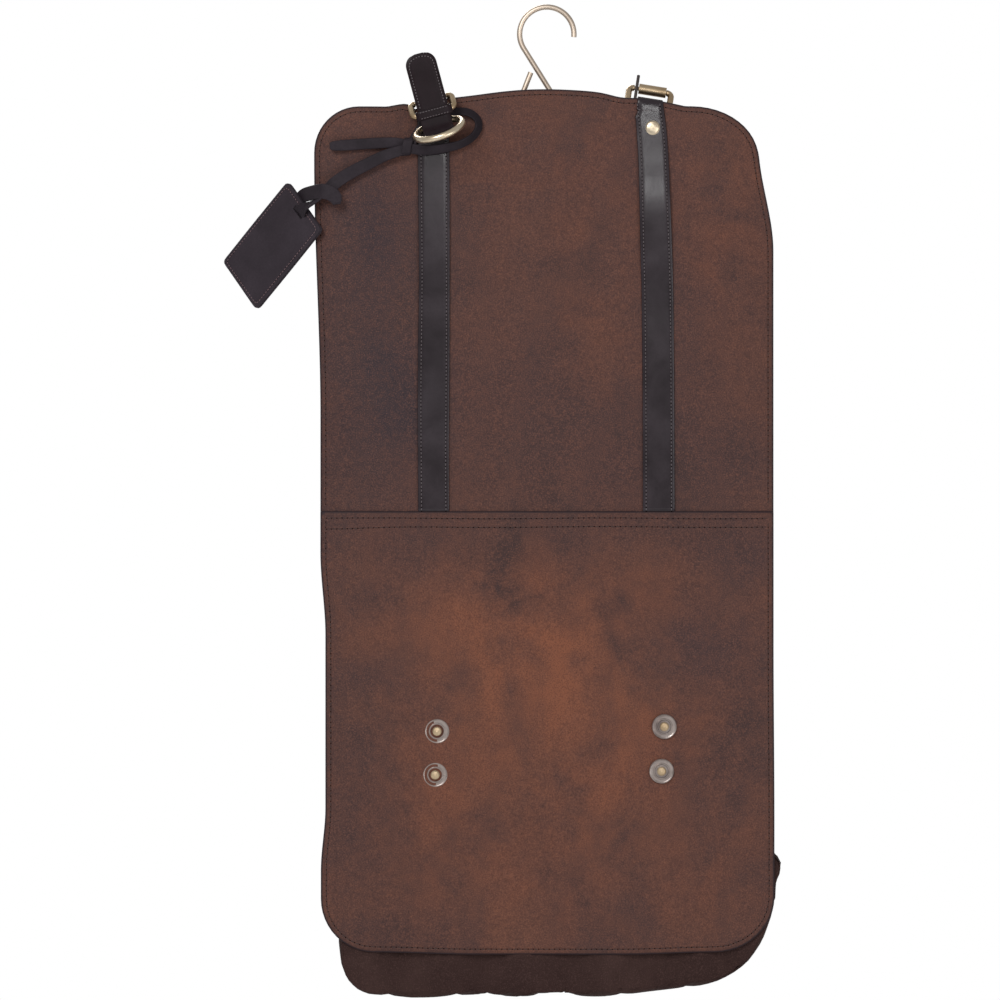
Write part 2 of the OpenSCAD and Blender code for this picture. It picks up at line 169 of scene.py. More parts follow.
def resample(points, pitch):
    """Points spaced evenly, about pitch apart, along a polyline."""
    p = np.asarray(points, float)
    seg = np.linalg.norm(np.diff(p, axis=0), axis=1)
    s = np.concatenate([[0], np.cumsum(seg)])
    n = max(2, int(round(s[-1] / pitch)))
    at = np.linspace(0, s[-1], n + 1)
    return np.stack([np.interp(at, s, p[:, k]) for k in range(p.shape[1])], axis=1)


def arc(wide, high, degrees):
    """Points of an ellipse's arc at these angles."""
    return [(wide * math.cos(t), high * math.sin(t)) for t in np.radians(degrees)]


# ---- mesh building ----

def mesh(name, verts, faces, material, smooth=True, extra=None, face_mats=None):
    """A mesh object from points in millimetres; keeps each point's rest place for its material."""
    me = bpy.data.meshes.new(name)
    co = np.asarray(verts, float) * MM
    me.from_pydata(co.tolist(), [], [tuple(int(i) for i in f) for f in faces])
    bm = bmesh.new()
    bm.from_mesh(me)
    bmesh.ops.recalc_face_normals(bm, faces=bm.faces)
    bm.to_mesh(me)
    bm.free()
    me.polygons.foreach_set("use_smooth", [smooth] * len(me.polygons))
    rest = me.attributes.new("rest", "FLOAT_VECTOR", "POINT")
    rest.data.foreach_set("vector", co.astype(np.float32).ravel())
    for key, values in (extra or {}).items():
        a = me.attributes.new(key, "FLOAT", "POINT")
        a.data.foreach_set("value", np.asarray(values, np.float32))
    mats = material if isinstance(material, (list, tuple)) else [material]
    for m in mats:
        me.materials.append(m)
    if face_mats is not None:
        me.polygons.foreach_set("material_index", [int(i) for i in face_mats])
    ob = bpy.data.objects.new(name, me)
    bpy.context.scene.collection.objects.link(ob)
    return ob


class Builder:
    """Collects many small solids into one mesh."""

    def __init__(self):
        self.verts, self.faces, self.mats = [], [], []

    def add(self, verts, faces, mat=0):
        base = len(self.verts)
        self.verts += [tuple(v) for v in verts]
        self.faces += [tuple(base + i for i in f) for f in faces]
        self.mats += [mat] * len(faces)

    def build(self, name, materials, smooth=True):
        return mesh(name, self.verts, self.faces, materials, smooth, face_mats=self.mats)

    def sewn(self, name, thread="thread"):
        """The collected stitches, in this thread, with dark discs of painted shade for their needle holes.
        """
        return self.build(name, [MAT[thread], MAT["painted_hole_shade"]])


def tube_faces(rings, n, closed=False):
    """Faces that join rings of n points each; open tubes get end caps."""
    faces = []
    for i in range(rings if closed else rings - 1):
        a, b = i * n, (i + 1) % rings * n
        faces += [(a + j, a + (j + 1) % n, b + (j + 1) % n, b + j) for j in range(n)]
    if not closed:
        faces.append(tuple(range(n)))
        faces.append(tuple(range((rings - 1) * n, rings * n)))
    return faces


def strap_profile(steps=7):
    """A strap's cross-section with round edges: shares of its flat half width, half thickness and bulge."""
    turn = np.radians(np.linspace(-90, 90, steps))
    half = [(1.0, math.sin(t), math.cos(t)) for t in turn]
    half += [(share, 1.0, 0.0) for share in (0.6, 0.0, -0.6)]
    return half + [(-flat, -up, -out) for flat, up, out in half]


PROFILE = strap_profile()


def strap(name, path, side, half_w, thick, material, closed=False, shift=0.0):
    """A strap swept along path. side is its width direction and shift moves its middle that way."""
    tangent = np.gradient(path, axis=0)
    tangent /= np.linalg.norm(tangent, axis=1)[:, None]
    side = np.broadcast_to(side, path.shape).astype(float)
    side -= (side * tangent).sum(1)[:, None] * tangent
    side /= np.linalg.norm(side, axis=1)[:, None]
    normal = np.cross(tangent, side)
    half_w, shift = (np.broadcast_to(v, len(path)) for v in (half_w, shift))
    r = thick / 2
    verts = []
    for p, s, n, w, d in zip(path, side, normal, half_w, shift):
        for flat, up, out in PROFILE:
            across = flat * max(w - r, 0.05) + out * r * 0.8
            verts.append(p + s * (across + d) + n * up * r)
    k = len(PROFILE)
    return mesh(name, verts, tube_faces(len(verts) // k, k, closed), material)


def boundary(n, m):
    """Index pairs round the rim of an n by m grid, in order."""
    loop = [(0, j) for j in range(m)]
    loop += [(i, m - 1) for i in range(1, n)]
    loop += [(n - 1, j) for j in range(m - 2, -1, -1)]
    loop += [(i, 0) for i in range(n - 2, 0, -1)]
    return loop


def shell(front, back, rim_t, rim_out):
    """Points and faces of a closed sheet: two equal grids joined round their rims.
    rim_t are the shares from front to back of the rim's rows and rim_out how far each bulges."""
    n, m = front.shape[:2]
    loop = boundary(n, m)
    verts = list(front.reshape(-1, 3)) + list(back.reshape(-1, 3))
    corners = [base + i * m + j for base in (0, n * m) for i in range(n - 1) for j in range(m - 1)]
    faces = [(a, a + 1, a + m + 1, a + m) for a in corners]
    f, b = (np.array([grid[i, j] for i, j in loop]) for grid in (front, back))
    around = np.roll(f, -1, 0) - np.roll(f, 1, 0)
    out = np.stack([around[:, 2], np.zeros(len(f)), -around[:, 0]], 1)
    out /= np.maximum(np.linalg.norm(out, axis=1), 1e-6)[:, None]
    middle = f.mean(0)
    if ((f - middle) * out).sum() < 0:
        out = -out
    rows = [[i * m + j for i, j in loop]]
    for t, bulge in zip(rim_t, rim_out):
        start = len(verts)
        verts += list(f * (1 - t) + b * t + out * np.asarray(bulge).reshape(-1, 1))
        rows.append(list(range(start, start + len(loop))))
    rows.append([n * m + i * m + j for i, j in loop])
    k = len(loop)
    for r0, r1 in zip(rows, rows[1:]):
        faces += [(r0[j], r0[(j + 1) % k], r1[(j + 1) % k], r1[j]) for j in range(k)]
    return verts, faces


# ---- the bag's outline and how it hangs ----

def arch_z(x):
    """Height of the leather's arched top edge, which sags where the buckles hang."""
    crown = TOP_Z + CROWN_RISE
    arch = crown - (crown - SHOULDER_Z) * np.minimum(1, np.abs(x) / ARCH_HALF) ** 2
    for middle, wide, deep in BUCKLE_SAGS:
        arch = arch - deep * np.exp(-((x - middle) / wide) ** 2)
    return arch


def corner_drop(x, wide, high):
    """How far an elliptic corner has fallen at x, from the edge's height."""
    d = np.clip((np.abs(x) - (HALF - wide)) / wide, 0, 1)
    return high * (1 - np.sqrt(np.maximum(1 - d * d, 0)))


def corners(x, left, right):
    """The fall of an edge at its left and right corner, each given as (wide, high)."""
    return np.where(x < 0, corner_drop(x, *left), corner_drop(x, *right))


def left_edge(z):
    """x of the leather's left edge; the leather is soft, so it wanders."""
    x = -248.5 - 7 * ease(z, -450, -170)
    return x + 5.5 * ease(z, -600, -690) - 5.0 * ease(z, -880, -950)


def right_edge(z):
    """x of the right edge, which is pulled in at the shoulder."""
    return 248.5 - 16.5 * ease(z, -268, -150) + 1.0 * ease(z, -700, -900)


def hang(x, z):
    """How far the front stands off its plane, towards the back."""
    waves = 1.1 * np.sin(x / 83 + 0.7) * np.sin(z / 147 + 0.4) + 0.8 * np.sin(x / 51 - z / 118)
    waves += 0.5 * np.sin(x / 29 + z / 210 + 1.1)
    for bar in (LEFT_BAR, RIGHT_BAR):
        near = np.exp(-((x - bar[0]) / 34) ** 2 - ((z - bar[2]) / 42) ** 2)
        waves = waves * (1 - near) + 0.5 * near
    roll = 5.0 * (np.abs(x) / HALF) ** 14 + 1.2 * (np.abs(x) / HALF) ** 4
    return waves + roll


def columns(r_left, r_right, step):
    """Shares of the half width for a sheet's columns, closer together over its round corners."""
    left = [r_left - HALF - r_left * math.sin(math.radians(a)) for a in np.linspace(90, 0, 13)]
    right = [HALF - r_right + r_right * math.sin(math.radians(a)) for a in np.linspace(0, 90, 13)]
    mid = list(np.linspace(left[-1], right[0], int((right[0] - left[-1]) / step) + 1))
    return np.array(left[:-1] + mid + right[1:]) / HALF


def to_x(u, z):
    """x at height z of a column that is a share u of the half width out."""
    lo, hi = left_edge(z), right_edge(z)
    return (lo + hi) / 2 + u * (hi - lo) / 2


def on_front(x, z, y_face):
    """Points on the hanging front at x, z."""
    return np.stack([x, y_face + hang(x, z), z], -1)


def edge_distance(grid):
    """Shortest distance from each point of a grid to the grid's rim."""
    n, m = grid.shape[:2]
    rim = np.array([grid[i, j] for i, j in boundary(n, m)])[:, [0, 2]]
    seg = np.roll(rim, -1, 0) - rim
    pts = grid.reshape(-1, 3)[:, [0, 2]]
    best = np.full(len(pts), 1e9)
    for a, d in zip(rim, seg):
        q = d @ d
        if q < 1e-9:
            continue
        t = np.clip(((pts - a) @ d) / q, 0, 1)
        best = np.minimum(best, np.linalg.norm(pts - a - t[:, None] * d, axis=1))
    return best


RIM_T = [0.12, 0.35, 0.65, 0.88]
RIM_OUT = [0.55, 0.85, 0.85, 0.55]


# broad clouds in the leather: x, z, width, height, then how much darker-blue and how much redder
CLOUDS = [
    (-190, -420, 75, 150, 1.5, 0.0), (-195, -240, 60, 90, 1.0, 0.0), (-20, -440, 90, 70, 0.55, 0.0),
    (150, -500, 110, 60, 0.9, 0.1), (160, -330, 70, 110, 0.6, 0.0), (120, -170, 60, 40, 0.4, 0.0),
    (190, -230, 50, 110, 0.0, 0.55), (30, -160, 130, 45, 0.3, 0.35), (60, -300, 70, 90, 0.0, 0.25),
    (-40, -280, 50, 120, 0.25, 0.0), (-60, -650, 110, 50, 0.0, 0.5), (15, -735, 165, 105, 0.0, 1.0),
    (180, -705, 55, 42, 1.1, 0.0), (-190, -745, 80, 22, 0.55, 0.0), (-20, -580, 150, 28, 0.4, 0.0),
    (-215, -900, 40, 90, 0.45, 0.0), (10, -960, 170, 50, 0.1, 0.5), (200, -900, 60, 100, 0.25, 0.3),
    (60, -860, 60, 60, 0.0, 0.6), (-110, -870, 70, 60, 0.0, 0.5), (210, -600, 50, 40, 0.7, 0.0),
]


def clouds(pts):
    """How dark and how red the leather is at each point, from its broad clouds."""
    x = pts[:, 0] + 9 * np.sin(pts[:, 2] / 31) + 5 * np.sin(pts[:, 2] / 13 + pts[:, 0] / 40)
    z = pts[:, 2] + 9 * np.sin(pts[:, 0] / 27) + 5 * np.sin(pts[:, 0] / 15 - pts[:, 2] / 33)
    dark, red = np.zeros(len(pts)), np.zeros(len(pts))
    for cx, cz, w, h, d, r in CLOUDS:
        g = np.exp(-((x - cx) / w) ** 2 - ((z - cz) / h) ** 2)
        dark += d * g
        red += r * g
    return dark, red


def leather_panel(name, us, z_top, z_foot, rows, y_face):
    """A hanging sheet of leather; z_top and z_foot give its edges at each of its columns."""
    v = np.linspace(0, 1, rows)
    z = z_foot[:, None] * (1 - v) + z_top[:, None] * v
    front = on_front(to_x(us[:, None], z), z, y_face)
    verts, faces = shell(front, front + np.array([0, LEATHER_T, 0]), RIM_T, RIM_OUT)
    far = edge_distance(front)
    edge = np.concatenate([far, far, np.zeros(len(verts) - 2 * len(far))])
    dark, red = clouds(np.array(verts))
    return mesh(name, verts, faces, MAT["leather"], extra={"edge": edge, "dark": dark, "red": red})


# ---- materials ----

def rgba(color):
    """A colour for a node's input: a socket as it is, or three numbers with full opacity."""
    return color if isinstance(color, bpy.types.NodeSocket) else (*color, 1)


class Nodes:
    """Short way to build a node material."""

    def __init__(self, name):
        self.mat = bpy.data.materials.new(name)
        self.mat.use_nodes = True
        self.tree = self.mat.node_tree

    def link(self, value, socket):
        if isinstance(value, bpy.types.NodeSocket):
            self.tree.links.new(value, socket)
        elif value is not None:
            socket.default_value = value

    def add(self, kind, out=0, settings=None, **inputs):
        """A new node's output; inputs are named, with _ for a space, or numbered, as i0 and so on."""
        node = self.tree.nodes.new("ShaderNode" + kind)
        for key, value in (settings or {}).items():
            setattr(node, key, value)
        for key, value in inputs.items():
            index = int(key[1:]) if key[1:].isdigit() else key.replace("_", " ")
            self.link(value, node.inputs[index])
        return node.outputs[out]

    def rest(self):
        return self.attribute("rest", "Vector")

    def attribute(self, name, out="Fac"):
        return self.add("Attribute", out, {"attribute_name": name})

    def object_place(self):
        return self.add("TexCoord", "Object")

    def noise(self, vector, scale, detail=4.0, rough=0.55, distortion=0.0):
        return self.add("TexNoise", "Fac", i0=vector, Scale=scale, Detail=detail, Roughness=rough,
                        Distortion=distortion)

    def grain(self, vector, scale):
        return self.add("TexVoronoi", "Distance", None, Vector=vector, Scale=scale)

    def axes(self, vector):
        return self.add("SeparateXYZ", 0, None, Vector=vector).node.outputs

    def math(self, op, a, b=0.0, clamp=False):
        return self.add("Math", 0, {"operation": op, "use_clamp": clamp}, i0=a, i1=b)

    def plus(self, a, b):
        return self.math("ADD", a, b)

    def times(self, a, b, clamp=False):
        return self.math("MULTIPLY", a, b, clamp)

    def ramp(self, fac, stops):
        """Colours along fac; the first and last stop are at 0 and 1."""
        node = self.add("ValToRGB", 0, None, i0=fac).node
        for _ in stops[2:]:
            node.color_ramp.elements.new(0.5)
        for e, (place, color) in zip(node.color_ramp.elements, stops):
            e.position = place
            e.color = (*color, 1)
        return node.outputs[0]

    def span(self, fac, a, b, lo=0.0, hi=1.0):
        """Maps a..b to lo..hi, clamped."""
        return self.add("MapRange", 0, None, Value=fac, i1=a, i2=b, i3=lo, i4=hi)

    def mix(self, fac, a, b):
        return self.add("Mix", "Result", {"data_type": "RGBA"}, Factor=fac, A=rgba(a), B=rgba(b))

    def scaled(self, vector, xyz):
        return self.add("Mapping", 0, None, Vector=vector, Scale=xyz)

    def bump(self, height, strength, distance, under=None):
        return self.add("Bump", 0, None, Height=height, Strength=strength, Distance=distance, Normal=under)

    def finish(self, color, rough, normal=None, **more):
        """Sets the surface's inputs and gives back the material."""
        surface = self.tree.nodes["Principled BSDF"]
        for key, value in {"Base_Color": rgba(color), "Roughness": rough, "Normal": normal, **more}.items():
            self.link(value, surface.inputs[key.replace("_", " ")])
        return self.mat


def srgb(r, g, b):
    """Linear colour from 0 to 255 display values."""
    return tuple(((c / 255 + 0.055) / 1.055) ** 2.4 if c > 10 else c / 255 / 12.92 for c in (r, g, b))


def shade(color, share):
    return tuple(share * c for c in color)


def waxed_leather():
    """Oiled pull-up leather: clouds of umber, slate and rust, fine grain, dark edge and a creased border."""
    n = Nodes("waxed_leather")
    p = n.rest()
    wide = n.noise(p, 4.2, 5, 0.62, 0.5)
    cloud = n.noise(n.scaled(p, (1, 1, 0.7)), 11.0, 6, 0.62, 0.7)
    spots = n.noise(p, 34.0, 4, 0.55, 0.3)
    mottle = n.noise(p, 150.0, 4, 0.65, 0.2)
    speck = n.noise(p, 700.0, 3, 0.75)
    tone = n.plus(n.plus(n.times(wide, 0.45), n.times(cloud, 0.35)), n.times(spots, 0.2))
    umbers = [(0.0, (58, 41, 40)), (0.35, (72, 49, 45)), (0.65, (84, 55, 47)), (1.0, (96, 62, 50))]
    body = n.ramp(n.span(tone, 0.34, 0.66), [(place, srgb(*color)) for place, color in umbers])
    rust = n.times(n.span(n.plus(cloud, n.times(spots, 0.4)), 0.5, 0.85), n.attribute("red"))
    body = n.mix(n.times(rust, 0.85, True), body, srgb(122, 73, 52))
    slate = n.times(n.span(n.plus(wide, n.times(cloud, 0.6)), 0.45, 1.05), n.attribute("dark"))
    body = n.mix(n.times(slate, 1.1, True), body, srgb(52, 42, 46))
    edge = n.attribute("edge")
    for mask, none_at, full_at, most, color in (
            (mottle, 0.45, 0.8, 0.3, (108, 68, 52)), (mottle, 0.5, 0.25, 0.22, (50, 36, 34)),
            (speck, 0.48, 0.74, 0.66, (36, 24, 24)), (speck, 0.48, 0.26, 0.42, (138, 90, 70)),
            (edge, 4.2, 0.6, 0.35, (60, 40, 34)), (edge, 1.4, 0.2, 0.9, (34, 25, 30))):
        body = n.mix(n.span(mask, none_at, full_at, 0.0, most), body, srgb(*color))
    grain = n.grain(p, 620.0)
    height = n.plus(n.times(grain, 0.5), n.times(speck, 0.8))
    fine = n.bump(height, 0.45, 0.0005)
    dent = n.bump(n.plus(n.noise(p, 26.0, 4, 0.6), n.times(mottle, 0.25)), 0.4, 0.004, fine)
    crease = n.math("ABSOLUTE", n.math("SUBTRACT", edge, 5.2))
    groove = n.bump(n.span(crease, 0.0, 1.5), 0.3, 0.0005, dent)
    rough = n.span(n.plus(cloud, n.times(speck, 0.3)), 0.3, 1.0, 0.5, 0.72)
    return n.finish(body, rough, groove, Specular_IOR_Level=0.16)


def bridle_leather(name, base, light, rough0, rough1, gloss=0.25):
    """Smooth dark strap leather with a soft shine, rubbed lighter in places."""
    n = Nodes(name)
    p = n.rest()
    cloud = n.noise(p, 16.0, 5, 0.6, 0.4)
    fine = n.noise(p, 420.0, 4, 0.65)
    body = n.mix(n.span(cloud, 0.35, 0.72), base, light)
    body = n.mix(n.span(fine, 0.4, 0.8, 0.0, 0.4), body, shade(base, 0.55))
    grain = n.grain(p, 1100.0)
    bump = n.bump(n.plus(n.times(grain, 0.4), fine), 0.08, 0.0002)
    bump = n.bump(n.noise(p, 45.0, 2, 0.5), 0.12, 0.0012, bump)
    rough = n.span(cloud, 0.3, 0.75, rough0, rough1)
    return n.finish(body, rough, bump, Specular_IOR_Level=gloss)


def waxed_canvas(name, base, light):
    """Dry waxed cotton: a plain weave of fine threads, with paler rubbed folds."""
    n = Nodes(name)
    p = n.rest()
    x, y, z = n.axes(p)
    pitch = 2 * math.pi / 0.0009
    across = n.plus(x, y)
    warp = n.math("SINE", n.times(across, pitch))
    weft = n.math("SINE", n.times(z, pitch))
    weave = n.times(warp, weft)
    cloud = n.noise(p, 11.0, 6, 0.62, 0.4)
    slub = n.noise(n.scaled(p, (1, 1, 9)), 120.0, 3, 0.6)
    body = n.mix(n.span(cloud, 0.36, 0.7), base, light)
    body = n.mix(n.span(weave, -1.0, 1.0, 0.0, 0.35), body, shade(base, 0.6))
    body = n.mix(n.span(slub, 0.5, 0.8, 0.0, 0.25), body, light)
    body = n.mix(n.span(n.noise(p, 800.0, 3, 0.7), 0.5, 0.3, 0.0, 0.5), body, shade(light, 1.9))
    bump = n.bump(weave, 0.35, 0.00025)
    bump = n.bump(n.noise(p, 40.0, 5, 0.62, 0.5), 0.5, 0.003, bump)
    return n.finish(body, n.span(cloud, 0.3, 0.7, 0.78, 0.92), bump, Specular_IOR_Level=0.08)


def antique_brass(name, bright, dull, rough0=0.2, rough1=0.42, patina=0.45):
    """Brushed metal with a brown patina in its hollows and fine scratches."""
    n = Nodes(name)
    p = n.object_place()
    cloud = n.noise(p, 45.0, 4, 0.55, 0.3)
    scratch = n.noise(n.scaled(p, (1, 1, 0.3)), 260.0, 2, 0.5)
    hollow = n.add("AmbientOcclusion", 1, {"samples": 8}, Distance=0.003)
    body = n.mix(n.span(cloud, 0.35, 0.75), bright, dull)
    body = n.mix(n.span(scratch, 0.5, 0.85, 0.0, 0.18), body, shade(dull, 0.6))
    body = n.mix(n.times(n.span(hollow, 0.75, 0.2), patina), body, srgb(48, 36, 28))
    rough = n.span(n.plus(cloud, n.times(scratch, 0.4)), 0.4, 1.0, rough0, rough1)
    bump = n.bump(scratch, 0.02, 0.0001)
    return n.finish(body, rough, bump, Metallic=1.0)


def woven_tape(name, base, light):
    """Herringbone zip tape or webbing."""
    n = Nodes(name)
    p = n.rest()
    x, _, z = n.axes(p)
    zig = n.math("PINGPONG", x, 0.002)
    rib = n.math("SINE", n.times(n.plus(z, zig), 2 * math.pi / 0.0012))
    body = n.mix(n.span(rib, -1.0, 1.0), base, light)
    body = n.mix(n.span(n.noise(p, 300.0, 4), 0.4, 0.8, 0.0, 0.4), body, shade(base, 0.6))
    return n.finish(body, 0.85, n.bump(rib, 0.4, 0.0003), Sheen_Weight=0.1)


def thread(name, base):
    """Waxed sewing thread, twisted."""
    n = Nodes(name)
    p = n.rest()
    twist = n.add("TexWave", 0, {"bands_direction": "DIAGONAL"}, Vector=p, Scale=900.0)
    body = n.mix(n.span(twist, 0.2, 0.9), shade(base, 0.6), base)
    return n.finish(body, 0.6, n.bump(twist, 0.5, 0.0003))


def clear_film():
    n = Nodes("clear_film")
    haze = n.noise(n.object_place(), 60.0, 4)
    return n.finish(srgb(226, 232, 234), n.span(haze, 0.3, 0.7, 0.08, 0.22), n.bump(haze, 0.1, 0.0006),
                    Transmission_Weight=0.9, IOR=1.45)


def flecked(name, dark, light, scale, rough, bump=(0.0, 0.0), detail=4, grit=0.55, **more):
    """A matt stuff with fine flecks; bump is their strength and depth."""
    n = Nodes(name)
    fleck = n.noise(n.object_place(), scale, detail, grit)
    return n.finish(n.mix(fleck, dark, light), rough, n.bump(fleck, *bump) if bump[0] else None, **more)


MAT = {
    "leather": waxed_leather(),
    "strap": bridle_leather("bridle_leather", srgb(31, 24, 28), srgb(48, 40, 45), 0.16, 0.27, 0.34),
    "strap_dark": bridle_leather("dark_bridle_leather", srgb(22, 13, 16), srgb(36, 26, 30), 0.24, 0.4, 0.1),
    "lace": bridle_leather("lace_leather", srgb(36, 31, 35), srgb(54, 48, 53), 0.5, 0.65, 0.06),
    "tag": bridle_leather("tag_leather", srgb(46, 40, 45), srgb(58, 51, 57), 0.55, 0.7, 0.1),
    "canvas": waxed_canvas("waxed_canvas", srgb(48, 33, 31), srgb(64, 47, 44)),
    "tape": woven_tape("zip_tape", srgb(40, 32, 30), srgb(58, 48, 45)),
    "webbing": woven_tape("webbing", srgb(36, 31, 29), srgb(56, 50, 46)),
    "brass": antique_brass("antique_brass", srgb(226, 212, 188), srgb(186, 166, 136)),
    "old_brass": antique_brass("old_brass", srgb(208, 186, 154), srgb(158, 134, 104), 0.24, 0.45, 0.9),
    "satin": antique_brass("satin_brass", srgb(208, 192, 176), srgb(178, 162, 146), 0.4, 0.5, 0.6),
    "steel": antique_brass("dark_nickel", srgb(112, 104, 102), srgb(76, 70, 68), 0.25, 0.42, 0.9),
    "nickel": antique_brass("worn_nickel", srgb(182, 170, 164), srgb(126, 114, 110), 0.24, 0.4, 1.0),
    "board": flecked("fibre_board", srgb(92, 76, 60), srgb(128, 108, 84), 420.0, 0.9, (0.3, 4e-4), 5, 0.7),
    "film": clear_film(),
    "card": flecked("blank_card", srgb(226, 218, 200), srgb(238, 232, 218), 700.0, 0.85, (0.15, 0.0002)),
    "thread": thread("brown_thread", srgb(58, 38, 34)),
    "strap_thread": thread("strap_thread", srgb(106, 97, 100)),
    "tag_thread": thread("tag_thread", srgb(118, 92, 96)),
    # needle holes: a near-black matt colour, painted shade standing in for the shadow inside each hole
    "painted_hole_shade": flecked("needle_hole_painted_shade", srgb(14, 9, 9), srgb(26, 17, 16), 500.0, 0.95, detail=3,
                    Specular_IOR_Level=0.0),
    "floor": flecked("pale_floor", (0.86, 0.86, 0.86), (0.9, 0.9, 0.9), 3.0, 0.7),
}


# ---- stitching ----

def capsule(p, q, normal, width, height, n=6):
    """A short sunken thread from p to q on a surface with this normal."""
    d = q - p
    way = unit(d)
    side = unit(np.cross(normal, way))
    normal = np.cross(way, side)
    verts = []
    for t, s in ((0.0, 0.35), (0.18, 0.85), (0.5, 1.0), (0.82, 0.85), (1.0, 0.35)):
        lift = height * (s - 0.35)
        for k in range(n):
            a = 2 * math.pi * k / n
            verts.append(p + d * t + side * (width / 2 * s * math.cos(a))
                         + normal * (height / 2 * s * math.sin(a) + lift * 0.5))
    return verts, tube_faces(5, n)


def disc(c, normal, way, r, n=8):
    """A tiny raised dark lens: painted shade that stands in for a needle hole."""
    side = unit(np.cross(normal, way))
    way = np.cross(side, normal)
    verts = [c - normal * 0.25, c + normal * 0.16]
    verts += [c + r * (way * math.cos(2 * math.pi * k / n) + side * math.sin(2 * math.pi * k / n) * 0.8)
              for k in range(n)]
    faces = [(0, 2 + k, 2 + (k + 1) % n) for k in range(n)]
    faces += [(1, 2 + (k + 1) % n, 2 + k) for k in range(n)]
    return verts, faces


def stitch(builder, points, normals, pitch=5.8, width=0.95, height=0.55, painted_hole_shade=0.85, lift=0.05):
    """A row of stitches along a line of points, each with a disc of painted shade where its needle hole is.
    """
    both = resample(np.hstack([points, np.broadcast_to(normals, np.shape(points))]), pitch)
    p, nrm = both[:, :3], both[:, 3:]
    for a, b, n in zip(p[:-1], p[1:], nrm):
        n = unit(n)
        d = b - a
        builder.add(*capsule(a + d * 0.16 + n * lift, b - d * 0.16 + n * lift, n, width, height), 0)
        builder.add(*disc(a + n * lift, n, unit(d), painted_hole_shade), 1)


def stand_for(nodes):
    """Hides the CAD nodes that a piece stands for."""
    if nodes:
        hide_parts(*nodes)


def across_fold(ob, slot, *nodes):
    """Hides the CAD nodes that a soft piece stands for and bakes its place into its mesh."""
    stand_for(nodes)
    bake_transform(ob)


def on_body(ob, body, slot, *nodes):
    """Makes a piece ride on a body."""
    stand_for(nodes)
    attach(ob, body)


# ---- leather panels ----

LEFT_CORNER = (50.0, 50.0)
RIGHT_CORNER = (75.0, 57.0)
HEM_LEFT = (58.0, 58.0)
HEM_RIGHT = (66.0, 60.0)
UPPER_COLUMNS = columns(LEFT_CORNER[0], RIGHT_CORNER[0], COLUMN_STEP)
LOWER_COLUMNS = columns(HEM_LEFT[0], HEM_RIGHT[0], COLUMN_STEP)
STITCH_IN = 5.2


def upper_top(us):
    """Height of the upper panel's top edge; it dips where the left prong passes over it."""
    x = us * HALF
    middle, wide, deep = PRONG_DIP
    return arch_z(x) - corners(x, LEFT_CORNER, RIGHT_CORNER) - deep / (1 + ((x - middle) / wide) ** 4)


def hem_foot(us):
    """Height of the lower panel's hem."""
    x = us * HALF
    return HEM_Z + corners(x, HEM_LEFT, HEM_RIGHT) + 2.5 * ease(np.abs(x), 80, 190)


def build_leather():
    foot = np.full(len(UPPER_COLUMNS), SEAM_Z - 12)
    upper = leather_panel("upper_leather_panel", UPPER_COLUMNS, upper_top(UPPER_COLUMNS), foot, 90, FRONT_Y)
    across_fold(upper, "leather", "upper_leather", "upper_lining")
    top = np.full(len(LOWER_COLUMNS), SEAM_Z)
    lower = leather_panel("lower_leather_panel", LOWER_COLUMNS, top, hem_foot(LOWER_COLUMNS), 96, LAP_Y)
    across_fold(lower, "leather", "lower_leather")


def inset_line(points, d):
    """A closed X-Z outline moved inwards by d."""
    p = np.asarray(points)
    t = np.roll(p, -1, 0) - np.roll(p, 1, 0)
    n = np.stack([-t[:, 1], t[:, 0]], 1)
    n /= np.maximum(np.linalg.norm(n, axis=1), 1e-9)[:, None]
    if ((p - p.mean(0)) * n).sum() > 0:
        n = -n
    return p + n * d


def perimeter(us, z_edge, z_seam):
    """The outline of a panel as X-Z points, from its seam up or down round its outer edge and back."""
    v = np.linspace(0, 1, 60)
    left = [(to_x(-1, z), z) for z in z_seam + (z_edge[0] - z_seam) * v]
    edge = [(to_x(u, z), z) for u, z in zip(us, z_edge)]
    right = [(to_x(1, z), z) for z in z_edge[-1] + (z_seam - z_edge[-1]) * v]
    return left[:-1] + edge + right[1:]


def build_stitches():
    rows = Builder()
    upper = perimeter(UPPER_COLUMNS, upper_top(UPPER_COLUMNS), SEAM_Z + 2)
    lower = perimeter(LOWER_COLUMNS, hem_foot(LOWER_COLUMNS), SEAM_Z - 4)
    for outline, y_face in ((upper, FRONT_Y), (lower, LAP_Y)):
        line = inset_line(outline, STITCH_IN)[1:-1]
        stitch(rows, on_front(line[:, 0], line[:, 1], y_face), TO_FRONT)
    for down in (7.0, 16.5):
        x = np.linspace(left_edge(SEAM_Z) + 6, right_edge(SEAM_Z) - 6, 80)
        z = SEAM_Z - down - 2.5 * ease(-x, 130, 245) * (down > 10) + 0.5 * np.sin(x / 40)
        stitch(rows, on_front(x, z, LAP_Y), TO_FRONT)
    across_fold(rows.sewn("panel_stitching"), "leather")


# ---- canvas body ----

CANVAS_IN = 5.5


def canvas_left(z):
    """x of the canvas body's left side; the pouch hangs a little to the right."""
    return left_edge(z) + CANVAS_IN + 18 * ease(z, -985, -1030)


def canvas_right(z):
    """x of the right side, with the corner of the pouch that peeps out beside the leather."""
    peep = 12.5 * ease(z, -928, -941) - 6 * ease(z, -943, -972) - 9 * ease(z, -975, -1020)
    return right_edge(z) - CANVAS_IN + peep


def canvas_columns():
    """Columns of the canvas body, with extra ones along the zip's channel."""
    us = columns(60, 78, 6.5) * HALF
    us = us[np.abs(us) > 13]
    return np.sort(np.concatenate([us, [-12, -9.5, -8, -7, -5, 0, 5, 7, 8, 9.5, 12]])) / HALF


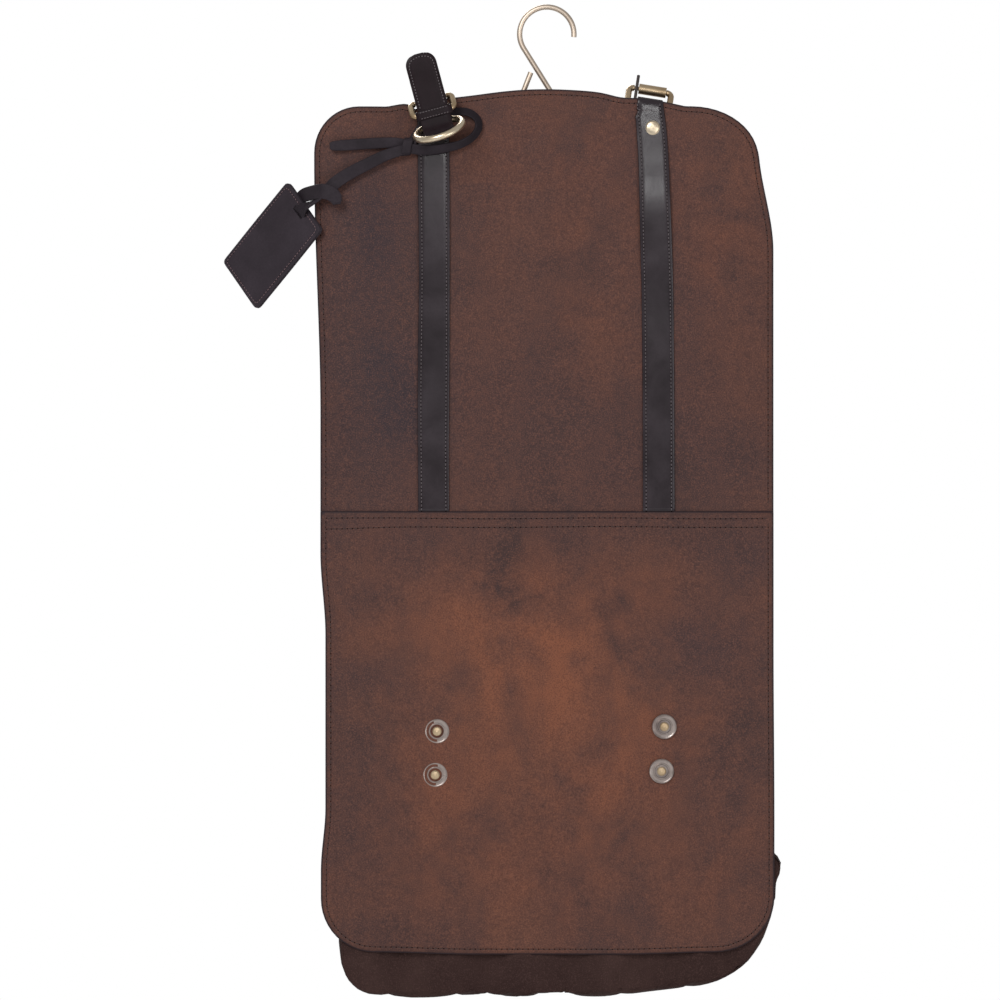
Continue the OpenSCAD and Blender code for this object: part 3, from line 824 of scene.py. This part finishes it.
def canvas_grids():
    us = canvas_columns()
    x = us * HALF
    z_top = upper_top(us) - LIP
    z_foot = POUCH_Z + corners(x, (36, 36), (78, 78)) + (2.5 + 14 * ease(x, 20, 230))
    v = np.linspace(0, 1, 150)
    z = z_foot[:, None] * (1 - v) + z_top[:, None] * v
    lo, hi = canvas_left(z), canvas_right(z)
    xx = (lo + hi) / 2 + us[:, None] * (hi - lo) / 2
    front_y = FRONT_Y + LEATHER_T + 1.0 + hang(xx, z) * 0.8
    low = ease(z, -960, -1040)
    crease = np.sin(xx / 21 + z / 40 + 1.2 * np.sin(z / 30)) * np.cos(xx / 47 + 0.6)
    front_y = front_y - 1.5 * low + 3.2 * low * crease
    sag = 1.9 * np.sin(xx / 61 + 0.5) * np.sin(z / 93)
    sag += 1.3 * np.sin(xx / 33 - z / 71)
    sag += 1.0 * np.sin(z / 41 + xx / 120)
    sag += 2.6 * (1 - np.abs(np.sin(xx / 74 + z / 160 + 0.9 * np.sin(z / 85)))) ** 2
    sag += 1.8 * (1 - np.abs(np.sin(z / 58 - xx / 90 + 0.7 * np.sin(xx / 47)))) ** 3
    sag -= 4.0 * np.exp(-((z - FOLD_Z + 4 * np.sin(xx / 45)) / 8) ** 2)
    inside = ease(z, CHANNEL_FOOT - 12, CHANNEL_FOOT - 7) * (1 - ease(z, CHANNEL_TOP + 4, CHANNEL_TOP + 9))
    channel = 7.5 * (1 - ease(np.abs(xx), 6.9, 8.2)) * inside
    seam = 0.8 * np.exp(-((np.abs(xx) - 9.5) / 1.6) ** 2) * inside
    board = ease(z, BOARD_FOOT - 25, BOARD_FOOT - 7)
    calm = ease(np.abs(xx), 14, 60) * (1 - board)
    back_y = REAR_Y - 1.6 + 0.9 * board + sag * 0.8 * calm - channel + seam
    front = np.stack([xx, front_y, z], 2)
    back = np.stack([xx, back_y, z], 2)
    return front, back


CLOTH = {
    "quality": 5, "mass": 0.02, "tension_stiffness": 12, "compression_stiffness": 8, "shear_stiffness": 4,
    "bending_stiffness": 0.02, "shrink_min": -0.03, "use_pressure": True, "uniform_pressure_force": 1.5,
    "vertex_group_mass": "sewn",
}


def settle(ob, fixed, frames=20, most=6.0):
    """Drapes a soft shell as cloth with a little air in it; fixed is 1 where it is sewn down."""
    sc = bpy.context.scene
    group = ob.vertex_groups.new(name=CLOTH["vertex_group_mass"])
    for i in np.nonzero(fixed > 0.02)[0]:
        group.add([int(i)], float(fixed[i]), "REPLACE")
    cloth = ob.modifiers.new("drape", "CLOTH")
    for key, value in CLOTH.items():
        setattr(cloth.settings, key, value)
    cloth.collision_settings.use_collision = False
    cloth.point_cache.frame_start = 1
    cloth.point_cache.frame_end = frames
    for frame in range(1, frames + 1):
        sc.frame_set(frame)
    done = ob.evaluated_get(bpy.context.evaluated_depsgraph_get()).to_mesh()
    before, after = (np.empty(3 * len(ob.data.vertices)) for _ in range(2))
    ob.data.vertices.foreach_get("co", before)
    done.vertices.foreach_get("co", after)
    ob.modifiers.remove(cloth)
    ob.vertex_groups.remove(group)
    sc.frame_set(1)
    move = (after - before).reshape(-1, 3)
    far = np.linalg.norm(move, axis=1, keepdims=True)
    limit = most * MM
    move *= limit * np.tanh(far / limit) / np.maximum(far, 1e-9)
    ob.data.vertices.foreach_set("co", before + move.ravel())
    ob.data.update()


def build_canvas():
    front, back = canvas_grids()
    n, m = front.shape[:2]
    loop = boundary(n, m)
    z = np.array([front[i, j][2] for i, j in loop])
    s = np.arange(len(loop))
    ripple = 0.9 * np.sin(s / 3.1) + 0.7 * np.sin(s / 7.3 + 1.0)
    rim_t = np.array([0.03, 0.1, 0.2, 0.35, 0.5, 0.65, 0.8, 0.9, 0.97])
    rim_out = [(1.8 * math.sin(math.pi * t) + 0.6) + ripple * math.sin(math.pi * t) for t in rim_t]
    verts, faces = shell(front, back, rim_t, rim_out)
    ob = mesh("canvas_body", verts, faces, MAT["canvas"])
    fixed = np.zeros(len(verts))
    grid = np.arange(n * m)
    x, z = np.array(verts)[:, 0], np.array(verts)[:, 2]
    fixed[grid] = ease(z[grid], CHANNEL_FOOT - 4, CHANNEL_FOOT + 6)
    fixed[np.abs(x) < 14] = 1.0
    fixed = np.maximum(fixed, ease(z, BOARD_FOOT - 30, BOARD_FOOT - 10))
    settle(ob, fixed)
    across_fold(ob, "canvas", "upper_gusset", "upper_back", "lower_front_canvas", "lower_gusset",
                "lower_back")


# ---- front straps ----

# the last entry is the radius of the painted shade discs that stand for the needle holes
STRAP_THREAD = {"pitch": 4.1, "width": 0.85, "height": 0.35, "painted_hole_shade": 0.95}


def lift(z, at, size, spread):
    """A soft forward bow in a strap, centred on height at."""
    return -size * math.exp(-((z - at) / spread) ** 2)


def strap_stitches(name, path, half, extra=()):
    """Two stitch rows along a strap's front face, and any extra rows, in one piece."""
    rows = Builder()
    for s in (-1, 1):
        line = path + np.array([1.0, 0, 0]) * s * (half - 4.0)[:, None] + np.array(TO_FRONT) * (STRAP_T / 2)
        stitch(rows, line, TO_FRONT, lift=0.03, **STRAP_THREAD)
    for line in extra:
        stitch(rows, line, TO_FRONT, **STRAP_THREAD)
    across_fold(rows.sewn(name, "strap_thread"), "strap_leather")


def build_left_strap():
    mid_y = FRONT_Y - STRAP_T / 2
    bx, by, bz = LEFT_BAR
    x = bx + 2.6
    flat = [(LEFT_STRAP_X + 0.5 * np.sin(z / 60) + (x + 0.4 - LEFT_STRAP_X) * ease(z, -140, -112),
             mid_y + hang(LEFT_STRAP_X, z) * 0.7 + lift(z, -250, 1.2, 80), z)
            for z in np.linspace(SEAM_Z + 1, bz - 4, 70)]
    turn = [(x, by + y, bz + 4.9 + z) for y, z in arc(4.9, 3.2, (0, 45, 90, 135, 180))]
    down = [(x, y, bz - below) for y, below in (
        (by - 5.0, 2), (by - 4.3, 8), (mid_y - 3.8, 15), (mid_y - 2.7, 23), (mid_y - 2.6, 36))]
    path = spline(flat + turn + down, 4)
    z = path[:, 2]
    on_loop = np.arange(len(path)) > np.argmax(z) - 3
    half = np.where(on_loop, 13.4, STRAP_HALF - 4.2 * ease(z, -124, -106)) + 0.25 * np.sin(z / 37)
    ob = strap("left_strap_leather", path, (1.0, 0, 0), half, STRAP_T, MAT["strap"])
    across_fold(ob, "strap_leather", "left_strap")
    keep = (~on_loop) & (z < -118)
    strap_stitches("left_strap_stitching", path[keep], half[keep])


def build_right_strap():
    mid_y = FRONT_Y - STRAP_T / 2
    roll = math.asin(-hinge_axis("right_buckle_swing")[2])
    centre = [(123.0, SEAM_Z + 1), (122.6, -430), (121.6, -322), (120.2, -267), (118.5, -212), (117.0, -168),
              (114.6, -132), (112.2, -112)]
    flat = [(x, mid_y + hang(x, z) * 0.6 * ease(-z, 115, 160) + lift(z, -222, 3.2, 62), z)
            for x, z in centre]
    bx, by, bz = RIGHT_BAR
    back_y = by + 5.9
    top = bz + 7.3
    turn = [(bx + 0.3, y, z) for y, z in (
        (mid_y, top - 4.5), (mid_y + 1.3, top - 1.2), (mid_y + 4.5, top), (back_y - 4.0, top),
        (back_y - 0.8, top - 1.5), (back_y, top - 5))]
    path = spline(flat + turn + [(bx + 0.2, back_y, bz - 9)], 4)
    z = path[:, 2]
    past = np.arange(len(path)) > np.argmax(z)
    on_top = np.where(past, 1.0, ease(z, -140, -104))
    side = np.stack([np.cos(roll * on_top), 0 * z, -np.sin(roll * on_top)], 1)
    half = 17.9 - 0.9 * ease(z, -280, -150) - 0.6 * ease(z, -150, -110)
    notch = np.where(past, 1.0, ease(z, bz - 9, bz - 5.5))
    left = half * (1 - notch) + 12.4 * notch
    shift = (half - left) / 2
    ob = strap("right_strap_leather", path, side, (half + left) / 2, STRAP_T, MAT["strap"], shift=shift)
    across_fold(ob, "strap_leather", "right_strap")
    keep = (~past) & (z < -105)
    x = np.linspace(bx - 12.0, bx + 14.0, 8)
    across = np.stack([x, 0 * x + FRONT_Y - STRAP_T, 0 * x + bz - 5.5 - 0.1 * (x - bx)], 1)
    strap_stitches("right_strap_stitching", path[keep], half[keep], [across])


# ---- closure strap on the left buckle ----

CLOSURE_T = 2.6


def closure_frame(v):
    """From the closure's own frame (across, depth, along) to the bag's."""
    roll = math.asin(-hinge_axis("closure_swing")[2])
    x, y, z = np.moveaxis(np.array(v, float), -1, 0)
    c, s = math.cos(roll), math.sin(roll)
    return LEFT_AXLE + np.stack([c * x + s * z, y, c * z - s * x], -1)


def build_closure():
    tip, foot, face = 66.0, -25.2, -11.7
    wide, tip_round = 17.4, 13
    path = [(0, y, z) for y, z in (
        (face - 0.6, tip), (face - 0.7, 50), (face - 0.2, 30), (face, 12), (face, -6), (face, -16),
        (face + 1.6, -22.5), (face + 6, foot), (1.2, foot), (6.2, -22.5), (7.7, -16), (7.7, -4),
        (7.2, 3.5), (3.5, 7.3), (-1.5, 7.8), (-6.4, 6.6), (-8.7, 9.5), (-9.1, 16))]
    path = spline(path, 1.6)
    z = path[:, 2]
    front = np.arange(len(path)) < np.argmin(z)
    t = np.clip((z - (tip - tip_round)) / tip_round, 0, 1)
    half = wide - 12.4 * (1 - np.sqrt(1 - t * t)) * front
    across = closure_frame([1, 0, 0]) - LEFT_AXLE
    ob = strap("closure_leather", closure_frame(path), across, half, CLOSURE_T, MAT["strap_dark"])
    on_body(ob, "closure", "strap_leather", "closure_strap")

    ring = [(x, y, -1.0) for x, y in (
        (-19.3, -11.6), (-18.0, -13.9), (0, -14.3), (18.0, -13.9), (19.3, -11.6), (18.0, -9.4), (0, -9.2),
        (-18.0, -9.4))]
    ring = closure_frame(ring_spline(ring, 2.5))
    along = closure_frame([0, 0, 1]) - LEFT_AXLE
    keeper = strap("closure_keeper_leather", ring, along, 5.0, 1.5, MAT["strap_dark"], True)
    on_body(keeper, "closure", "strap_leather", "closure_keeper")

    rows = Builder()
    inset = 3.7
    zs = np.linspace(6.5, tip - inset, 40)
    t = np.clip((zs - (tip - tip_round)) / (tip_round - inset), 0, 1)
    w = wide - inset - (12.4 - 1.0) * (1 - np.sqrt(1 - t * t))
    depth = np.interp(zs, [12, 30, 50, tip], [face, face - 0.2, face - 0.7, face - 0.6]) - CLOSURE_T / 2
    left = np.stack([-w, depth, zs], 1)
    right = np.stack([w, depth, zs], 1)[::-1]
    stitch(rows, closure_frame(np.vstack([left, right])), TO_FRONT, 3.3, 1.0, 0.5, 0.6)
    for z0 in (-4.4, 2.4):
        x = np.linspace(-16, 16, 12)
        line = closure_frame(np.stack([x, 0 * x - 15.0 + 0.4 * (x / 18) ** 2, 0 * x + z0], 1))
        stitch(rows, line, TO_FRONT, 3.3, 0.9, 0.45, 0.6)
    on_body(rows.sewn("closure_stitching", "strap_thread"), "closure", "strap_leather")


# ---- lace and tag ----

LACE_T = 2.3
LACE_Y = FRONT_Y - 7.0


def lace(name, body, node, rows):
    """A leather lace. A row is its place, with depth from LACE_Y, its width direction and half width."""
    full = spline(np.array(rows, float) + [0, LACE_Y, 0, 0, 0, 0, 0], 3.0)
    ob = strap(name, full[:, :3], full[:, 3:6], full[:, 6], LACE_T, MAT["lace"])
    if body:
        on_body(ob, body, "strap_leather", node)
        return
    stand_for([node])
    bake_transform(ob)


def build_lace():
    lace("lace_round_ring", "upper", "lace_loop", [
        (-150.5, 0.6, -152, 0.7, -0.4, -0.5, 5.4), (-144, 0.8, -141, 0.8, -0.25, -0.5, 5.4),
        (-136, 1.4, -129, 0.7, -0.2, -0.6, 5), (-124, 1.8, -120, 0.4, -0.2, -0.9, 4.6),
        (-110, 1.8, -115.5, 0, -0.2, -0.9, 4.6), (-97, 1.2, -114.6, -0.1, -0.3, -0.9, 4.8),
        (-86, 0.2, -116, -0.5, -0.5, -0.7, 5.2), (-77, -1, -122.5, -0.7, -0.7, -0.2, 5.6),
        (-75.2, -1.6, -132.5, -0.65, -0.7, 0.3, 5.6), (-82, -2.4, -143, -0.45, -0.7, 0.55, 5.6),
        (-96, -3.4, -151.2, -0.2, -0.6, 0.8, 5.6), (-115.5, -3.8, -155.6, 0, -0.4, 0.9, 5.6),
        (-135.5, -3.6, -157.4, 0, -0.25, 0.97, 5.8), (-154, -2.6, -154.8, 0.05, -0.1, 1, 6)])
    lace("lace_tail_end", "lace", "lace_tail", [
        (-148.5, 0.4, -153, 0.1, -0.3, 1, 4.6), (-160, 1.2, -149.6, 0, -0.2, 1, 5.6),
        (-176, 1.8, -149, 0, 0, 1, 6.2), (-200, 2.2, -150.2, 0, 0.05, 1, 6.3),
        (-224, 2, -151.8, 0, 0.1, 1, 6.2), (-236.5, 1.6, -152.6, 0, 0.1, 1, 5.2),
        (-239, 1.5, -152.8, 0, 0.1, 1, 3)])
    lace("lace_run_to_tag", None, "lace_run", [
        (-150, -2.2, -155, -0.3, -0.2, -1, 5.2), (-160, -2.6, -157.6, -0.25, -0.15, -1, 6),
        (-178, -2, -163.2, -0.3, -0.1, -1, 6.6), (-197, -1.6, -172.4, -0.42, 0, -1, 7),
        (-215, -1.4, -181.6, -0.45, 0, -1, 7.2), (-230, -1.6, -191, -0.55, -0.1, -1, 7.4),
        (-241, -2.2, -200.4, -0.6, -0.3, -1, 7.8), (-251, 0.6, -209.4, -0.6, -0.5, -0.9, 8.2),
        (-262.5, 9.5, -218, -0.55, -0.5, -0.75, 8.6), (-269.5, 17, -223, 0.49, -0.52, -0.7, 8.6),
        (-273.4, 24, -225.6, 0.49, -0.52, -0.7, 8.4), (-271.5, 28.5, -222.5, 0.49, -0.52, -0.7, 8.4),
        (-272.5, 32.5, -215, 0.49, -0.52, -0.7, 8.4), (-272.5, 31, -210.5, 0.45, -0.4, -0.8, 8.2),
        (-268.5, 24, -206.5, 0.3, -0.45, -0.85, 8.2), (-260, 10, -204.2, 0.1, -0.2, -1, 8.4),
        (-248.5, -5.4, -202.6, -0.1, -0.1, -1, 8.6), (-238.5, -8.6, -204.5, -0.5, -0.05, -0.85, 8.6),
        (-232.5, -8.4, -210, -0.8, 0, -0.6, 7.8), (-231, -7.6, -217, -0.85, 0, -0.5, 4.6)])
    knot = np.array([
        (-152.5, -5.2, -147), (-154, -5.9, -153), (-154.8, -5, -159.5), (-155, -1.5, -162.4),
        (-154.4, 2.8, -160), (-153, 4.2, -153), (-151.8, 2.6, -146), (-151.9, -2, -144.4)]) + [0, LACE_Y, 0]
    ob = strap("lace_knot", ring_spline(knot, 2.0), (1.0, 0, 0.1), 5.2, 2.0, MAT["lace"], True)
    on_body(ob, "lace", "strap_leather")


# how the tag hangs: degrees about X, then Y, then Z
TAG_TURN = (-9.15, 44.2, -46.5)
# from the tag's hinge to the middle of its front face, along the tag and through it
TAG_DROP = 50.5
TAG_DEPTH = 2.5
TAG_HALF = (38.5, 61.5)
# the tag's openings: half width, foot and top
TAG_SLOT = (9, 48, 53)
TAG_WINDOW = (24, -46, 30)
TAG_POCKET = (30.5, -52.5, 38.5)


def tag_grid(xs, zs, half_w, half_l, r):
    """A grid over a rectangle whose corners are rounded to radius r."""
    x, z = np.meshgrid(xs, zs, indexing="ij")
    core_x, core_z = half_w - r, half_l - r
    dx, dz = np.maximum(np.abs(x) - core_x, 0), np.maximum(np.abs(z) - core_z, 0)
    k = np.maximum(dx, dz) / np.maximum(np.hypot(dx, dz), 1e-9)
    gx = np.where(dx > 0, np.sign(x) * (core_x + dx * k), x)
    gz = np.where(dz > 0, np.sign(z) * (core_z + dz * k), z)
    return gx, gz


def sheet(gx, gz, y0, y1, keep, bulge=0.35):
    """A closed plate over the kept squares of a grid, from depth y0 to y1, with rounded rims."""
    n, m = gx.shape
    wave = 0.25 * np.sin(gx / 17) * np.cos(gz / 23)
    front, back = (np.stack([gx, y + wave, gz], 2).reshape(-1, 3) for y in (y0, y1))
    verts = list(front) + list(back)
    faces, edges, mids = [], {}, {}
    for i, j in zip(*np.nonzero(keep)):
        q = [i * m + j, (i + 1) * m + j, (i + 1) * m + j + 1, i * m + j + 1]
        faces += [tuple(q), tuple(n * m + k for k in reversed(q))]
        edges.update(dict.fromkeys(zip(q, q[1:] + q[:1])))
    rim = [(a, b) for a, b in edges if (b, a) not in edges]
    for k in dict.fromkeys(k for edge in rim for k in edge):
        mids[k] = len(verts)
        verts.append((front[k] + back[k]) / 2)
    for a, b in rim:
        d = front[b] - front[a]
        for k in (a, b):
            verts[mids[k]] = verts[mids[k]] + unit((d[2], 0, -d[0])) * bulge / 2
        faces += [(a, b, mids[b], mids[a]), (mids[a], mids[b], n * m + b, n * m + a)]
    used = sorted({k for f in faces for k in f})
    index = {k: i for i, k in enumerate(used)}
    return np.array([verts[k] for k in used]), [tuple(index[k] for k in f) for f in faces]


def build_tag():
    axes = np.array(Euler([math.radians(a) for a in TAG_TURN], "XYZ").to_matrix()).T
    origin = TAG_PIVOT - axes[2] * TAG_DROP - axes[1] * TAG_DEPTH
    w, l = TAG_HALF
    openings = (TAG_SLOT, TAG_WINDOW, TAG_POCKET)
    sides = [side * half for half, _, _ in openings for side in (-1, 1)]
    ends = [end for _, foot, top in openings for end in (foot, top)]
    xs = np.unique(np.concatenate([np.linspace(-w, w, 25), [-w + 1, w - 1], sides]))
    zs = np.unique(np.concatenate([np.linspace(-l, l, 39), [-l + 1, l - 1], ends]))
    gx, gz = tag_grid(xs, zs, w, l, 5.0)
    cx = (xs[:-1] + xs[1:])[:, None] / 2
    cz = (zs[:-1] + zs[1:])[None, :] / 2
    slot, window, pocket = ((np.abs(cx) < half) & (cz > foot) & (cz < top) for half, foot, top in openings)
    solid = ~slot
    for name, y0, y1, keep, nodes in (("tag_front_leather", 0.0, 2.05, solid, ["tag_front"]),
                                      ("tag_back_leather", 3.0, 5.0, solid & ~window, ["tag_back"]),
                                      ("tag_filler", 2.05, 3.0, solid & ~pocket, [])):
        verts, faces = sheet(gx, gz, y0, y1, keep)
        ob = mesh(name, origin + verts @ axes, faces, MAT["tag"])
        on_body(ob, "tag", "strap_leather", *nodes)
    rows = Builder()
    a, b, c = w - 3.9, l - 3.9, 3.0
    line = []
    for sx, sz, start in ((1, 1, 0), (-1, 1, 90), (-1, -1, 180), (1, -1, 270)):
        line += [(sx * (a - c) + x, 0, sz * (b - c) + z) for x, z in arc(c, c, range(start, start + 91, 30))]
    line.append(line[0])
    line = origin + resample(line, 2.0) @ axes
    stitch(rows, line, -axes[1], 4.0, 1.0, 0.5, 0.6)
    stitch(rows, line + axes[1] * 5.0, axes[1], 4.0, 1.0, 0.5, 0.6)
    on_body(rows.sewn("tag_stitching", "tag_thread"), "tag", "strap_leather")


# ---- hook tab, hanger loop, zip ----

def build_hook_tab():
    lo, hi = cad("hook_tab")
    x = (lo[0] + hi[0]) / 2
    wire_z = hi[2] - 5.5
    t = 2.1
    inner, outer = lo[1] + t / 2 + 0.1, lo[1] + 1.5 * t + 0.2
    top = [(x, y, wire_z + z) for y, z in arc(4.4, 4.4, (200, 165, 130, 90, 50, 10, -30, -65))]
    path = [(x, inner, z) for z in np.linspace(lo[2], wire_z - 9, 8)] + top
    path += [(x, outer + 0.3, z) for z in np.linspace(wire_z - 9, lo[2] + 0.8, 8)]
    ob = strap("hook_tab_leather", spline(path, 2.5), (1.0, 0, 0), (hi[0] - lo[0]) / 2, t, MAT["strap_dark"])
    on_body(ob, "upper", "strap_leather", "hook_tab")
    rows = Builder()
    face = outer + 0.3 + t / 2
    a, z0, z1 = (hi[0] - lo[0]) / 2 - 3.2, lo[2] + 4.0, wire_z - 14
    line = [(x - a, face, z1), (x - a, face, z0), (x + a, face, z0), (x + a, face, z1), (x - a, face, z1)]
    stitch(rows, resample(line, 2), TO_BACK, 3.8, 0.95, 0.45, 0.6, 0.02)
    on_body(rows.sewn("hook_tab_stitching"), "upper", "strap_leather")


def build_hanger_loop():
    lo, hi = cad("hanger_loop")
    middle = (lo + hi) / 2
    top, foot = hi[2] - middle[2], lo[2] - middle[2]
    ring = [(0, middle[1] + y, middle[2] + z) for y, z in (
        (-6.5, top - 5), (-3, top - 1.2), (3, top - 1.2), (6.5, top - 5), (7.8, 0), (5.5, foot + 5),
        (0, foot + 1), (-5.5, foot + 5), (-7.8, 0))]
    half = (hi[0] - lo[0]) / 2
    ob = strap("hanger_loop_webbing", ring_spline(ring, 3), (1.0, 0, 0), half, 1.5, MAT["webbing"], True)
    on_body(ob, "upper", "webbing", "hanger_loop")


def build_zip():
    tapes = Builder()
    for s in (-1, 1):
        z = np.linspace(ZIP_FOOT - 4, ZIP_TOP + 4, 170)
        x = np.array([1.2, 3.4, 6.0, 8.5])
        y = ZIP_Y - np.array([1.5, 1.9, 2.0, 2.0])
        f = np.stack(np.broadcast_arrays(s * x, y, z[:, None]), 2)
        f[:, 2:, 1] += 0.15 * np.sin(z / 9)[:, None]
        tapes.add(*shell(f, f - np.array([0, 0.9, 0]), [0.5], [0.2]))
    across_fold(tapes.build("zip_tape", [MAT["tape"]]), "webbing", "upper_zip_tapes", "lower_zip_tapes")
    teeth = Builder()
    pitch = 2.6
    around = [(-1, -1), (1, -1), (1, 1), (-1, 1)]
    box_x, box_y, box_z = np.array([(x, y, z) for z in (-1, 1) for x, y in around]).T
    sides = [(0, 3, 2, 1), (4, 5, 6, 7), (0, 1, 5, 4), (1, 2, 6, 5), (2, 3, 7, 6), (3, 0, 4, 7)]
    for i in range(int((ZIP_TOP - ZIP_FOOT) / pitch)):
        s = 1 if i % 2 else -1
        z = ZIP_FOOT + (i + 0.5) * pitch
        wide = 2.0 - 0.35 * (box_y > 0)
        verts = np.stack([s * 1.15 + box_x * wide, ZIP_Y - 1.15 + box_y * 0.95, z + box_z * 0.72], 1)
        teeth.add(verts, sides)
    chain = teeth.build("zip_teeth", [MAT["old_brass"]], smooth=False)
    across_fold(chain, "antique_brass", "upper_zip_chain", "lower_zip_chain")
    rows = Builder()
    for x in (-11.2, 11.2):
        z = np.linspace(ZIP_FOOT - 2, ZIP_TOP + 2, 200)
        stitch(rows, np.stack([0 * z + x, 0 * z + REAR_Y - 1.2, z], 1), TO_BACK, 4.6, 0.8, 0.4, 0.5, 0.1)
    across_fold(rows.sewn("zip_stitching"), "canvas")


# ---- run everything ----

build_leather()
build_stitches()
build_canvas()
build_left_strap()
build_right_strap()
build_closure()
build_lace()
build_tag()
build_hook_tab()
build_hanger_loop()
build_zip()

CAD_LOOKS = {
    "brass": ["strap_rivets", "tab_rivets", "o_ring"],
    "satin": ["hook"],
    "old_brass": ["left_buckle_frame", "right_buckle_frame", "left_roller", "right_roller",
                  "closure_snaps", "stud_posts", "upper_zip_stop", "lower_zip_stop", "upper_slider",
                  "lower_slider", "upper_pull", "lower_pull"],
    "steel": ["left_prong", "right_prong", "tab_burrs", "strap_burrs", "stud_backings"],
    "nickel": ["stud_bases"],
    "board": ["top_stiffener"],
    "film": ["tag_window"],
    "card": ["tag_card"],
}
for look, names in CAD_LOOKS.items():
    for node in names:
        ob = frame["nodes"][node]
        ob.data.materials.clear()
        ob.data.materials.append(MAT[look])


# ---- studio ----

def studio():
    """White surroundings for the camera, dimmer ones for the light, and four soft lamps."""
    sc = bpy.context.scene
    sc.view_settings.view_transform = "Standard"
    world = bpy.data.worlds.new("studio")
    world.use_nodes = True
    tree = world.node_tree
    path = tree.nodes.new("ShaderNodeLightPath")
    mix = tree.nodes.new("ShaderNodeMixShader")
    tree.links.new(path.outputs["Is Camera Ray"], mix.inputs["Fac"])
    for i, strength in enumerate((0.46, 1.0)):
        white = tree.nodes.new("ShaderNodeBackground")
        white.inputs["Color"].default_value = (1, 1, 1, 1)
        white.inputs["Strength"].default_value = strength
        tree.links.new(white.outputs[0], mix.inputs[1 + i])
    tree.links.new(mix.outputs[0], tree.nodes["World Output"].inputs["Surface"])
    sc.world = world
    middle = Vector((-0.0517, FRONT_Y * MM, -0.5418))

    def place(name, data, at):
        ob = bpy.data.objects.new(name, data)
        ob.location = at
        ob.rotation_euler = (middle - Vector(at)).to_track_quat("-Z", "Y").to_euler()
        sc.collection.objects.link(ob)
        return ob

    distance, view_width = 10.0, 1.1
    cam = bpy.data.cameras.new("camera")
    cam.sensor_width = 36.0
    cam.lens = cam.sensor_width * distance / view_width
    sc.camera = place("camera", cam, middle - Vector((0, distance, 0)))
    rim = [(x, y, -1300) for x, y in ((-2400, -2300), (2400, -2300), (2400, 1350), (-2400, 1350))]
    floor = mesh("floor", rim, [(0, 1, 2, 3)], MAT["floor"])
    for name, at, wide, high, power in (("key", (-1.3, -3.2, 1.2), 1.3, 1.3, 70),
                                        ("fill", (1.9, -2.6, -0.9), 1.6, 1.6, 29),
                                        ("back", (-0.9, 2.8, 1.6), 1.6, 1.2, 60),
                                        ("glint", (0.16, -3.4, 0.16), 0.28, 0.16, 5)):
        lamp = bpy.data.lights.new(name, "AREA")
        lamp.energy = power
        lamp.shape = "RECTANGLE"
        lamp.size = wide
        lamp.size_y = high
        place(name, lamp, at)


studio()
